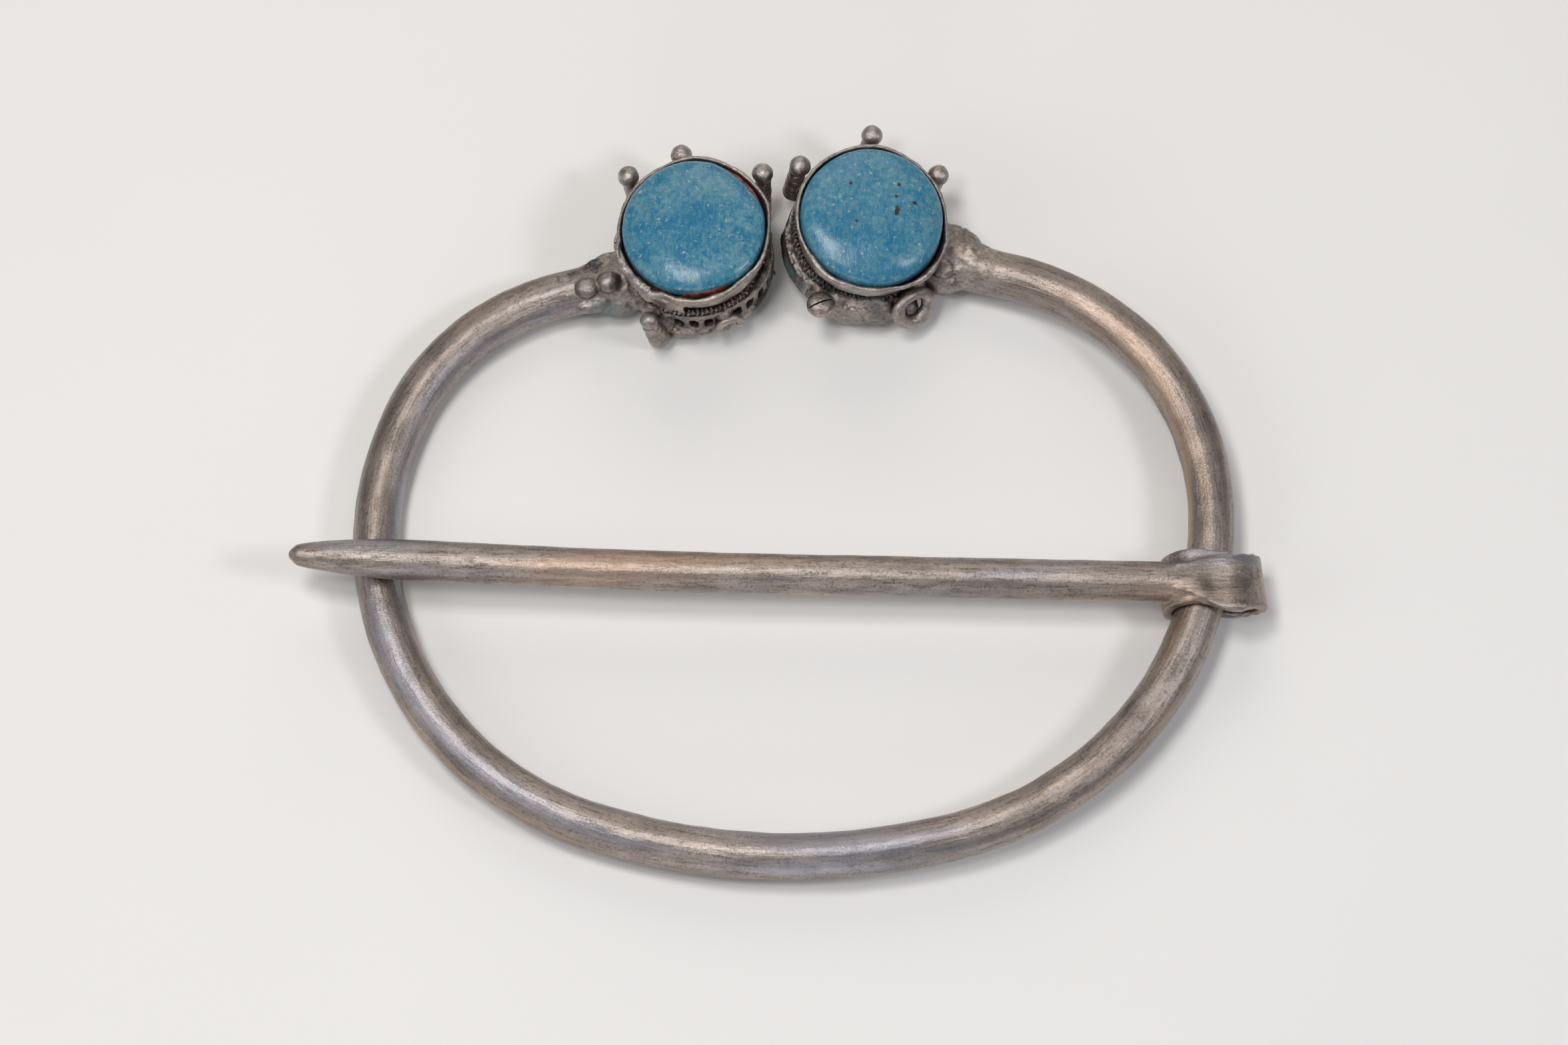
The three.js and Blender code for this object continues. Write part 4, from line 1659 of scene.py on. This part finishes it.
    def windows(self) -> bpy.types.Object:
        """The cutter for all the open windows: one arched tool, repeated."""
        width, height = self.window_width, self.window_height
        Bench.clear()
        bpy.ops.mesh.primitive_cylinder_add(
            vertices=20, radius=width / 2 * MM, depth=3 * MM, rotation=(math.pi / 2, 0, 0)
        )
        tool = bpy.context.object
        Bench.settle(tool)
        with Bench.editing(tool):
            Bench.pick(tool, lambda place: place.z < -0.01)
            Bench.push((0, 0, -(height - width)))
        Bench.settle(tool, shift(0, self.gallery_radius, self.window_sill + height - width / 2))
        tools = []
        for index, bearing in enumerate(self.open_bays):
            tools.append(Bench.settle(Bench.again(tool, f"window_{index}"), turn(bearing - 90, "Z")))
        bpy.data.objects.remove(tool)
        return Bench.join("windows", tools)

    def torn_strip(self, strip: Strip) -> bpy.types.Object:
        """A strip of sheet bent round the drum, its upper edge torn.

        Args:
            strip: where it stands.

        Returns:
            The strip, in the terminal's frame.
        """
        dice = random.Random(self.seed + int(strip.start))
        Bench.clear()
        bpy.ops.mesh.primitive_plane_add(size=MM)
        piece = bpy.context.object
        with Bench.editing(piece):
            bpy.ops.mesh.select_all(action="SELECT")
            bpy.ops.mesh.merge(type="CENTER")
            Bench.push((strip.distance, 0, strip.low))
            for _ in range(3):
                rise = (strip.high - strip.low) / 3 * MM
                bpy.ops.mesh.extrude_vertices_move(TRANSFORM_OT_translate={"value": (0.0, 0, rise)})
            bpy.ops.mesh.select_all(action="SELECT")
            span = strip.end - strip.start
            steps = max(6, int(span / 3))
            bpy.ops.mesh.spin(steps=steps, angle=-math.radians(span), center=(0, 0, 0), axis=(0, 0, 1))
            for index in range(steps + 1):
                bearing = math.radians(span * index / steps)
                drop = -dice.uniform(0.0, 0.55)
                height = strip.low if strip.torn_below else strip.high
                edge = Vector((strip.distance * math.cos(bearing), strip.distance * math.sin(bearing), height))
                Bench.pick(piece, lambda place, edge=edge: (place - edge).length < 0.12)
                Bench.push((0, 0, drop))
            bpy.ops.mesh.select_all(action="SELECT")
            bpy.ops.mesh.normals_make_consistent(inside=False)
        Bench.settle(piece, turn(strip.start, "Z"))
        return Bench.shape(piece, "SOLIDIFY", thickness=strip.thickness * MM, offset=0)

    def rope(self) -> bpy.types.Object:
        """The ring of two twisted strands on top of the gallery: a straight pair, twisted, then bent round.

        Returns:
            The rope in its place.
        """
        length = math.tau * self.twist_radius
        Bench.clear()
        strands = []
        for side in (-1, 1):
            bpy.ops.mesh.primitive_cylinder_add(
                vertices=10,
                radius=self.strand * MM,
                depth=length * MM,
                end_fill_type="NOTHING",
                location=(0, side * self.strand * 0.62 * MM, 0),
            )
            strand = bpy.context.object
            Bench.settle(strand)
            with Bench.editing(strand):
                bpy.ops.mesh.select_mode(type="EDGE")
                mesh = bmesh.from_edit_mesh(strand.data)
                for edge in mesh.edges:
                    edge.select_set(abs(edge.verts[0].co.z - edge.verts[1].co.z) > 1e-5)
                bmesh.update_edit_mesh(strand.data)
                bpy.ops.mesh.subdivide(number_cuts=self.rope_cuts)
            strands.append(strand)
        rope = Bench.join(f"{self.name}_rope_worn", strands)
        Bench.settle(rope, turn(90, "Y"))
        Bench.shape(rope, "SIMPLE_DEFORM", deform_method="TWIST", deform_axis="X", angle=math.tau * self.turns)
        Bench.shape(rope, "SIMPLE_DEFORM", deform_method="BEND", deform_axis="Z", angle=math.tau)
        rows = places(rope)
        middle = (rows.max(0) + rows.min(0)) / 2
        reach = (rows[:, 0].max() - rows[:, 0].min()) / 2 - self.strand
        with Bench.editing(rope):
            bpy.ops.mesh.select_all(action="SELECT")
            Bench.push(tuple(-middle))
            scale = self.twist_radius / reach
            bpy.ops.transform.resize(value=(scale, scale, 1), center_override=(0, 0, 0))
            Bench.push((0, 0, self.twist_height))
            Bench.close_up()
            for bearing, by, reach in self.rope_in:
                place = Vector(self.at(bearing, self.twist_radius, self.twist_height))
                Bench.pick(rope, lambda spot, place=place: (spot - place).length < 0.5)
                Bench.push(self.at(bearing, -by, 0), reach)
        Bench.settle(rope, self.frame())
        Bench.batter(rope, 1.4, 0.16)
        return Bench.soften(rope, 70)

    def cup(self) -> bpy.types.Object:
        """The bezel cup: a plain band with a worn rim, dented as it is."""
        outer, inner = self.bezel_radius, self.bezel_radius - self.bezel_wall
        foot, rim = self.cup_foot, self.rim
        profile = [(0.0, foot), (self.bezel_foot - 0.1, foot)]
        for index in range(10):
            share = index / 9
            radius = self.bezel_foot + (outer - self.bezel_foot) * share**0.8
            profile.append((radius, foot + 0.1 + (rim - foot - 0.3) * share))
        profile += [(outer - 0.05, rim - 0.05), (outer - 0.16, rim + 0.03), (inner + 0.1, rim + 0.02)]
        profile += [(inner, rim - 0.1), (inner - 0.02, rim - 0.5), (inner - 0.04, rim - 0.9), (inner - 0.08, rim - 1.4)]
        profile += [(inner - 0.2, foot + 0.5), (0.0, foot + 0.5)]
        cup = Bench.turned(f"{self.name}_bezel_worn", profile, 200)
        with Bench.editing(cup):
            for dent in self.dents:
                place = Vector(self.at(dent.bearing, outer - 0.15, rim))
                Bench.pick(cup, lambda spot, place=place: (spot - place).length < 0.35)
                Bench.push(dent.by, dent.reach)
        for index, (bearing, height, reach, rise) in enumerate(self.rolls):
            spot = self.at(bearing, outer + 0.1, height)
            Bench.swell(cup, rise, Bench.weigh(cup, f"roll_{index}", near(spot, reach)))
        Bench.join(cup.name, [cup] + [self.torn_strip(lip) for lip in self.lips])
        Bench.fuse(cup, 0.095, 1)
        Bench.settle(cup, self.cup_frame())
        Bench.batter(cup, 1.5, 0.16)
        Bench.batter(cup, 0.45, 0.07)
        return Bench.soften(cup, 60)

    def lac(self) -> bpy.types.Object:
        """The lac under the stone, risen beside it where the bezel leaves it bare."""
        wide = self.bezel_radius - self.bezel_wall - 0.12
        foot = self.cup_foot + 0.55
        profile = [(0.0, foot), (wide - 0.15, foot), (wide, 6.0), (wide, 6.55), (wide - 0.05, 6.75), (wide - 0.25, 6.8)]
        profile += [(wide - 0.5, 6.7), (wide - 0.55, self.lac_top), (0.0, self.lac_top)]
        lac = Bench.turned(f"{self.name}_lac_worn", profile, 180)
        with Bench.editing(lac):
            for start, end, rise, _ in self.lac_shows:
                span = (end - start) % 360
                Bench.pick(
                    lac,
                    lambda place: place.z > 6.5
                    and place.xy.length > wide - 0.52
                    and (math.degrees(math.atan2(place.y, place.x)) - start) % 360 <= span,
                )
                Bench.push((0, 0, rise), 0.5)
        Bench.settle(lac, self.cup_frame())
        Bench.batter(lac, 0.5, 0.12)
        return Bench.soften(lac, 60)

    def stone(self) -> bpy.types.Object:
        """The low domed stone, ground by eye: not quite round, its crown nearly flat."""
        wide = self.stone_radius
        profile = [(0.0, self.stone_foot), (wide - 0.3, self.stone_foot), (wide, 6.7), (wide, 7.1), (wide - 0.03, 7.5)]
        for index in range(25):
            share = index / 24
            radius = (wide - 0.05) * math.cos(share * math.pi / 2) ** self.dome_fullness
            profile.append((radius, self.girdle_top - 0.15 + (self.dome + 0.15) * math.sin(share * math.pi / 2)))
        stone = Bench.turned(f"{self.name}_stone_worn", profile, 160)
        with Bench.editing(stone):
            for start, end, _, gap in self.lac_shows:
                middle = math.radians(start + ((end - start) % 360) / 2)
                edge = Vector((wide * math.cos(middle), wide * math.sin(middle), 7.3))
                Bench.pick(stone, lambda place, edge=edge: (place - edge).length < 0.7)
                Bench.push((-gap * math.cos(middle), -gap * math.sin(middle), 0), 3.0)
            for bearing, rise in self.ground:
                spot = Vector(self.at(bearing, self.flank, 0)).xy
                Bench.pick(stone, lambda place, spot=spot: place.z > 7.3 and (place.xy - spot).length < 1.2)
                Bench.push((0, 0, rise), 4.0)
        Bench.settle(stone, self.cup_frame())
        Bench.batter(stone, 3.0, 0.14)
        return Bench.soften(stone)

    def post(self, index: int, kind: Post) -> bpy.types.Object:
        """A post: a cone wound with wire, and a grain on top.

        Args:
            index: its number.
            kind: its sizes.

        Returns:
            The post in its place.
        """
        winds = self.post_winds
        profile: Profile = [(0.0, 0.0), (0.8, 0.0)]
        for wind in range(winds):
            for part in range(1, 5):
                share = (wind + part / 4) / winds
                radius = 1.0 - 0.38 * share
                bulge = 0.1 * math.sin(math.pi * part / 4)
                profile.append((radius - 0.1 + bulge, kind.height * share))
        profile.append((0.0, kind.height))
        cone = Bench.turned("cone", profile, 28)
        with Bench.editing(cone):
            Bench.pick(cone, lambda place: 0.1 < place.z < kind.height - 0.1)
            middle = (0, 0, kind.height / 2 * MM)
            bpy.ops.transform.rotate(value=math.radians(5), orient_axis="X", center_override=middle)
        grain = Bench.ball("grain", kind.grain, (0, 0, kind.height + kind.grain * 0.98), (1, 1, 0.97))
        post = Bench.join(f"{self.name}_post_{index}_worn", [cone, grain])
        Bench.settle(post, self.frame() @ beside(kind.bearing, self.post_ring, 0.25, kind.lean))
        Bench.batter(post, 0.6, 0.12)
        Bench.batter(post, 0.22, 0.04)
        return Bench.soften(post, 60)

    def build(self) -> None:
        """Builds and dresses the whole terminal."""
        silver = SilverFinish(
            f"{self.name}_old_silver",
            bright=(0.55, 0.485, 0.44),
            middle=(0.32, 0.28, 0.255),
            shine=0.26,
            dull=0.48,
            patina=0.5,
            tinge=0.15,
            grime=0.85,
            wear=0.6,
            verdigris=0.3,
            green_at=self.green,
            black_at=self.dirty,
        ).material()
        inside = SilverFinish(
            f"{self.name}_gallery_silver",
            bright=(0.46, 0.41, 0.37),
            middle=(0.26, 0.23, 0.21),
            shine=0.3,
            dull=0.52,
            patina=0.6,
            tinge=0.1,
            grime=0.95,
            wear=0.6,
            verdigris=0.4,
            green_at=self.green,
            black_at=self.dirty,
        ).material()
        side = self.name
        dress(self.base(), Body.RING, Slot.SILVER, silver, f"{side}_base_plate")
        dress(self.gallery(), Body.RING, Slot.DARK_SILVER, inside, f"{side}_gallery")
        dress(self.rope(), Body.RING, Slot.SILVER, silver, f"{side}_twisted_wire")
        dress(self.cup(), Body.RING, Slot.SILVER, silver, f"{side}_bezel_cup")
        dress(self.lac(), Body.RING, Slot.LAC, LacFinish(f"{side}_lac").material(), f"{side}_lac_bed")
        dress(self.stone(), Body.RING, Slot.STONE, self.stone_finish.material(), f"{side}_stone")
        for index, kind in enumerate(self.posts, 1):
            dress(self.post(index, kind), Body.RING, Slot.SILVER, silver, f"{side}_grain_post_{index}")
        self.remnant(silver)

    def remnant(self, silver: bpy.types.Material) -> None:
        """Builds what else is left on this drum; a plain terminal has nothing."""


@dataclass
class LeftTerminal(Terminal):
    """The left terminal, with the broken curl of a scroll at its foot."""

    def remnant(self, silver: bpy.types.Material) -> None:
        """Bends the broken curl: a piece of round wire open on one side.

        Args:
            silver: its finish.
        """
        Bench.clear()
        bpy.ops.mesh.primitive_circle_add(
            vertices=16, radius=0.36 * MM, fill_type="NGON", location=(0.95 * MM, 0, 0)
        )
        curl = bpy.context.object
        curl.name = "left_curl_worn"
        Bench.settle(curl)
        with Bench.editing(curl):
            bpy.ops.mesh.select_all(action="SELECT")
            bpy.ops.mesh.spin(steps=28, angle=math.radians(226), center=(0, 0, 0), axis=(0, 1, 0))
            Bench.close_up()
        Bench.settle(curl, turn(24, "Y"))
        Bench.settle(curl, self.frame() @ beside(293, 6.61, 1.6))
        Bench.batter(curl, 0.7, 0.14)
        Bench.soften(curl, 60)
        dress(curl, Body.RING, Slot.SILVER, silver, "left_curl")


@dataclass
class RightTerminal(Terminal):
    """The right terminal, with a closed wire ring and a split bead."""

    def remnant(self, silver: bpy.types.Material) -> None:
        """Makes the ring and the split bead.

        Args:
            silver: their finish.
        """
        scroll = Bench.ring("right_scroll_worn", 1.28, 0.5)
        with Bench.editing(scroll):
            bpy.ops.mesh.select_all(action="SELECT")
            bpy.ops.transform.resize(value=(1.16, 0.96, 1.0))
            Bench.pick(scroll, lambda place: place.y < -1.5)
            Bench.push((0, -0.3, 0), 1.2)
        Bench.settle(scroll, turn(90, "X"))
        Bench.settle(scroll, self.frame() @ beside(305, 6.67 + 1.15 * math.sin(math.radians(35)), 3.2, -35))
        Bench.batter(scroll, 0.9, 0.3)
        Bench.batter(scroll, 0.35, 0.08)
        Bench.soften(scroll, 60)
        dress(scroll, Body.RING, Slot.SILVER, silver, "right_scroll")
        bead = Bench.ball("right_split_bead_worn", 1.1, (0, 0, 0.85), (1, 1, 0.77), 5)
        Bench.clear()
        bpy.ops.mesh.primitive_cube_add(size=MM)
        saw = bpy.context.object
        with Bench.editing(saw):
            bpy.ops.mesh.select_all(action="SELECT")
            bpy.ops.transform.resize(value=(3.0, 0.16, 1.2))
        Bench.settle(saw, shift(0, 0.05, 1.55) @ turn(52, "Z"))
        Bench.cut(bead, saw)
        Bench.settle(bead, self.frame() @ beside(241, 7.35, 2.9))
        Bench.batter(bead, 0.7, 0.1)
        Bench.soften(bead, 50)
        dress(bead, Body.RING, Slot.SILVER, silver, "right_split_bead")


# Set-up


@dataclass(frozen=True)
class Studio:
    """The table, the lights and the camera."""

    look_at: Triple = (0.311, -0.735, 0.0)
    elevation: float = 70.0
    distance: float = 400.0
    lens: float = 113.0
    sensor: float = 36.0

    def build(self) -> None:
        """Sets up the table, the lights and the camera."""
        Bench.clear()
        bpy.ops.mesh.primitive_plane_add(size=3.0, location=(0, 0, 0))
        floor = bpy.context.object
        floor.name = "table_top"
        Bench.settle(floor)
        bench = NodeBench("pale_table")
        tone = bench.noise(bench.where((0, 0, 0)), 0.02, 3, 0.5)
        bench.set(bench.shader.inputs["Base Color"], bench.mix(tone, (0.8, 0.79, 0.775), (0.84, 0.83, 0.815)))
        bench.shader.inputs["Roughness"].default_value = 0.6
        floor.data.materials.append(bench.material)
        self.light("key", (-88, 25, 400), 95, 0.55, (1.0, 0.98, 0.96))
        self.light("spark", (-100, -80, 385), 70, 0.26, (1.0, 0.98, 0.96))
        self.light("back", (20, 430, 290), 380, 0.6, (1.0, 0.92, 0.84))
        self.light("right", (270, -80, 300), 80, 0.36, (0.97, 0.97, 1.0))
        self.light("front", (-60, -370, 95), 170, 0.24, (0.9, 0.92, 1.0))
        self.light("left", (-320, -110, 210), 200, 0.2, (1.0, 0.96, 0.92))
        world = bpy.data.worlds.new("soft_room")
        world.use_nodes = True
        world.node_tree.nodes["Background"].inputs["Color"].default_value = (0.78, 0.8, 0.84, 1)
        world.node_tree.nodes["Background"].inputs["Strength"].default_value = 0.22
        bpy.context.scene.world = world
        tilt = math.radians(self.elevation)
        away = Vector((0, -math.cos(tilt), math.sin(tilt))) * self.distance
        bpy.ops.object.camera_add(location=(Vector(self.look_at) + away) * MM, rotation=(math.pi / 2 - tilt, 0, 0))
        camera = bpy.context.object
        camera.data.lens = self.lens
        camera.data.sensor_width = self.sensor
        camera.data.clip_start = 0.01
        bpy.context.scene.camera = camera
        bpy.context.scene.view_settings.view_transform = "Standard"

    def light(self, name: str, at: Triple, size: float, power: float, colour: Triple) -> None:
        """Sets a soft square light that faces the brooch.

        Args:
            name: its name.
            at: its place.
            size: its side.
            power: its power in watts.
            colour: its colour.
        """
        way = (Vector(self.look_at) - Vector(at)).to_track_quat("-Z", "Y")
        bpy.ops.object.light_add(type="AREA", location=Vector(at) * MM, rotation=way.to_euler())
        lamp = bpy.context.object
        lamp.name = f"light_{name}"
        lamp.data.shape = "SQUARE"
        lamp.data.size = size * MM
        lamp.data.energy = power
        lamp.data.color = colour


def left_terminal() -> LeftTerminal:
    """The left terminal as it has come down: four posts, a torn lip at the lower left, red lac beside the stone."""
    return LeftTerminal(
        name="left",
        origin=(-6.58867, 21.34456, 0.7822),
        lean_x=-3.5,
        lean_y=-5,
        open_bays=(8, 20, 32, 60, 72, 84, 110, 122, 146, 158, 255, 267, 279, 303, 315, 327, 339, 351),
        posts=(Post(46, 9), Post(98, 7), Post(132, 10), Post(243, 8, grain=0.74)),
        blobs=(
            Blob(243, 6.2, 1.2, 0.9, (1, 1, 1.2)),
            Blob(234, 5.8, 3.0, 0.9),
            Blob(224, 5.5, 2.4, 1.2),
            Blob(214, 5.5, 3.0, 1.2),
            Blob(292, 6.1, 2.6, 0.6, (1, 1, 1.4)),
            Blob(291, 6.1, 0.9, 0.5),
            Blob(245, 6.3, 0.6, 0.65, (1.4, 1, 0.8)),
            Blob(254, 6.25, 0.7, 0.6, (1.4, 1, 0.7)),
            Blob(262, 6.15, 0.75, 0.5, (1.6, 1, 0.7)),
            Blob(274, 6.1, 0.75, 0.45, (1.6, 1, 0.7)),
            Blob(284, 6.1, 0.7, 0.45, (1.6, 1, 0.7)),
            Blob(96, 6.1, 2.4, 0.8),
            Blob(46, 6.1, 2.0, 0.8),
            Blob(133, 6.1, 2.0, 0.8),
        ),
        strips=(Strip(146, 172, 6.75, 1.0, 3.6), Strip(100, 128, 6.5, 1.6, 4.0)),
        dents=(
            Dent(197, (-0.25, 0.0, 0.3), 0.8),
            Dent(206, (-0.3, -0.15, -0.1), 1.3),
            Dent(222, (-0.22, -0.25, 0.0), 1.4),
            Dent(236, (-0.2, -0.35, -0.3), 1.0),
            Dent(262, (0.0, -0.2, -0.08), 2.0),
            Dent(285, (0.05, -0.25, -0.05), 2.4),
            Dent(330, (0.12, -0.08, 0.05), 2.0),
            Dent(90, (0.0, 0.2, 0.0), 3.0),
            Dent(20, (0.15, 0.05, 0.0), 2.0),
        ),
        rolls=(
            (208, 7.0, 1.2, 0.28),
            (224, 6.9, 1.4, 0.34),
            (240, 6.6, 1.3, 0.3),
            (262, 6.6, 1.6, 0.2),
            (285, 6.7, 1.6, 0.16),
        ),
        rope_in=((335, 0.5, 3.4),),
        twist_radius=6.12,
        twist_height=4.0,
        wall_out=((338, 0.3, 3.4),),
        lac_shows=((17, 71, 0.6, 0.34), (212, 252, 0.4, 0.06), (264, 300, 0.6, 0.16)),
        cup_aside=(0.2, -0.03),
        cup_depth=1.025,
        lips=(Strip(190, 236, 6.4, 6.5, 7.45, 0.55, True), Strip(226, 262, 6.45, 5.9, 6.9, 0.45, True)),
        stone_finish=StoneFinish(
            "left_stone_blue",
            (-7.25, 21.9, 9.0),
            deep_at=(((-6.3, 22.3, 9.0), 1.5), ((-7.4, 20.2, 9.0), 1.9), ((-5.6, 19.6, 8.8), 1.3)),
            clouding=0.7,
            depth_of_blue=0.85,
        ),
        green=(((-13.6, 17.6, 2.4), 1.5), ((-12.6, 16.6, 1.2), 1.4)),
        ground=((143, 0.1), (323, -0.26)),
        dirty=(
            ((-12.4, 18.3, 1.6), 1.1),
            ((-15.6, 19.6, 3.6), 1.2),
            ((-17.3, 18.9, 3.2), 1.0),
            ((-1.4, 18.0, 2.0), 1.6),
        ),
        seed=11,
    )


def right_terminal() -> RightTerminal:
    """The right terminal as it has come down: three posts, a wall flooded with solder, a gap beside the stone."""
    return RightTerminal(
        name="right",
        origin=(6.26133, 22.84456, 0.99747),
        lean_x=1.5,
        lean_y=8,
        open_bays=(8, 20, 56, 68, 100, 112, 124, 150, 162, 174),
        posts=(Post(39, 5.5), Post(86, 9.5), Post(137, 1)),
        blobs=(
            Blob(250, 5.6, 2.9, 1.3),
            Blob(256, 5.7, 1.7, 1.3),
            Blob(264, 5.6, 2.6, 1.5),
            Blob(271, 5.7, 1.6, 1.4),
            Blob(278, 5.6, 2.6, 1.55),
            Blob(285, 5.75, 1.5, 1.4),
            Blob(292, 5.7, 2.4, 1.4),
            Blob(299, 5.9, 1.4, 1.2),
            Blob(308, 6.1, 1.2, 0.95),
            Blob(304, 6.7, 2.1, 1.1),
            Blob(320, 5.7, 2.6, 1.2),
            Blob(335, 5.7, 2.4, 1.3),
            Blob(350, 5.8, 2.8, 1.4),
            Blob(234, 5.8, 2.8, 0.9),
            Blob(86, 6.1, 2.4, 0.9),
            Blob(137, 6.1, 2.4, 0.9),
            Blob(39, 6.1, 2.4, 0.9),
        ),
        strips=(
            Strip(66, 106, 6.55, 2.2, 5.4),
            Strip(176, 226, 6.3, 0.9, 3.6),
            Strip(246, 300, 6.45, 0.5, 3.9, 0.8),
        ),
        dents=(
            Dent(302, (0.12, -0.2, 0.0), 1.8),
            Dent(320, (0.24, -0.22, 0.03), 2.0),
            Dent(340, (0.24, -0.08, 0.0), 1.8),
            Dent(236, (-0.1, -0.12, -0.05), 1.8),
            Dent(88, (0.0, 0.12, 0.0), 3.0),
        ),
        rolls=((225, 6.6, 1.8, 0.18), (245, 6.5, 1.8, 0.2), (268, 6.4, 1.8, 0.18), (315, 6.6, 1.6, 0.14)),
        cup_aside=(0.17, -0.03),
        cup_depth=1.015,
        melt=8,
        drips=14,
        stone_finish=StoneFinish(
            "right_stone_blue",
            (7.5, 22.6, 9.2),
            deep_at=(((6.2, 20.6, 9.0), 1.8), ((9.0, 20.4, 9.0), 1.2)),
            clouding=0.6,
            depth_of_blue=0.65,
            pits=(
                (2.0, 0.1, 0.26, 2.0),
                (3.45, 0.9, 0.2, 1.1),
                (-1.3, -0.9, 0.16, 1.0),
                (-1.75, 2.5, 0.15, 1.2),
                (2.15, 2.45, 0.2, 1.1),
                (1.95, 1.4, 0.14, 1.6),
            ),
        ),
        green=(((0.9, 20.2, 3.6), 1.3), ((2.0, 18.6, 1.8), 1.0), ((13.3, 20.4, 3.4), 1.2)),
        ground=((316, 0.2), (136, -0.38)),
        dirty=(((17.3, 20.9, 3.4), 0.9), ((9.9, 16.4, 2.4), 0.8), ((0.2, 22.4, 3.0), 2.4)),
        seed=23,
    )


def main() -> None:
    """Dresses the brooch piece by piece and sets up the studio."""
    logging.basicConfig(level=logging.INFO, format="%(message)s")
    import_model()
    hoop = Hoop()
    build_hoop(hoop)
    pin = Pin().build(hoop)
    dress(pin, Body.PIN, Slot.SILVER, PIN_FINISH.material(), "pin")
    left_terminal().build()
    right_terminal().build()
    Studio().build()


if __name__ == "__main__":
    main()
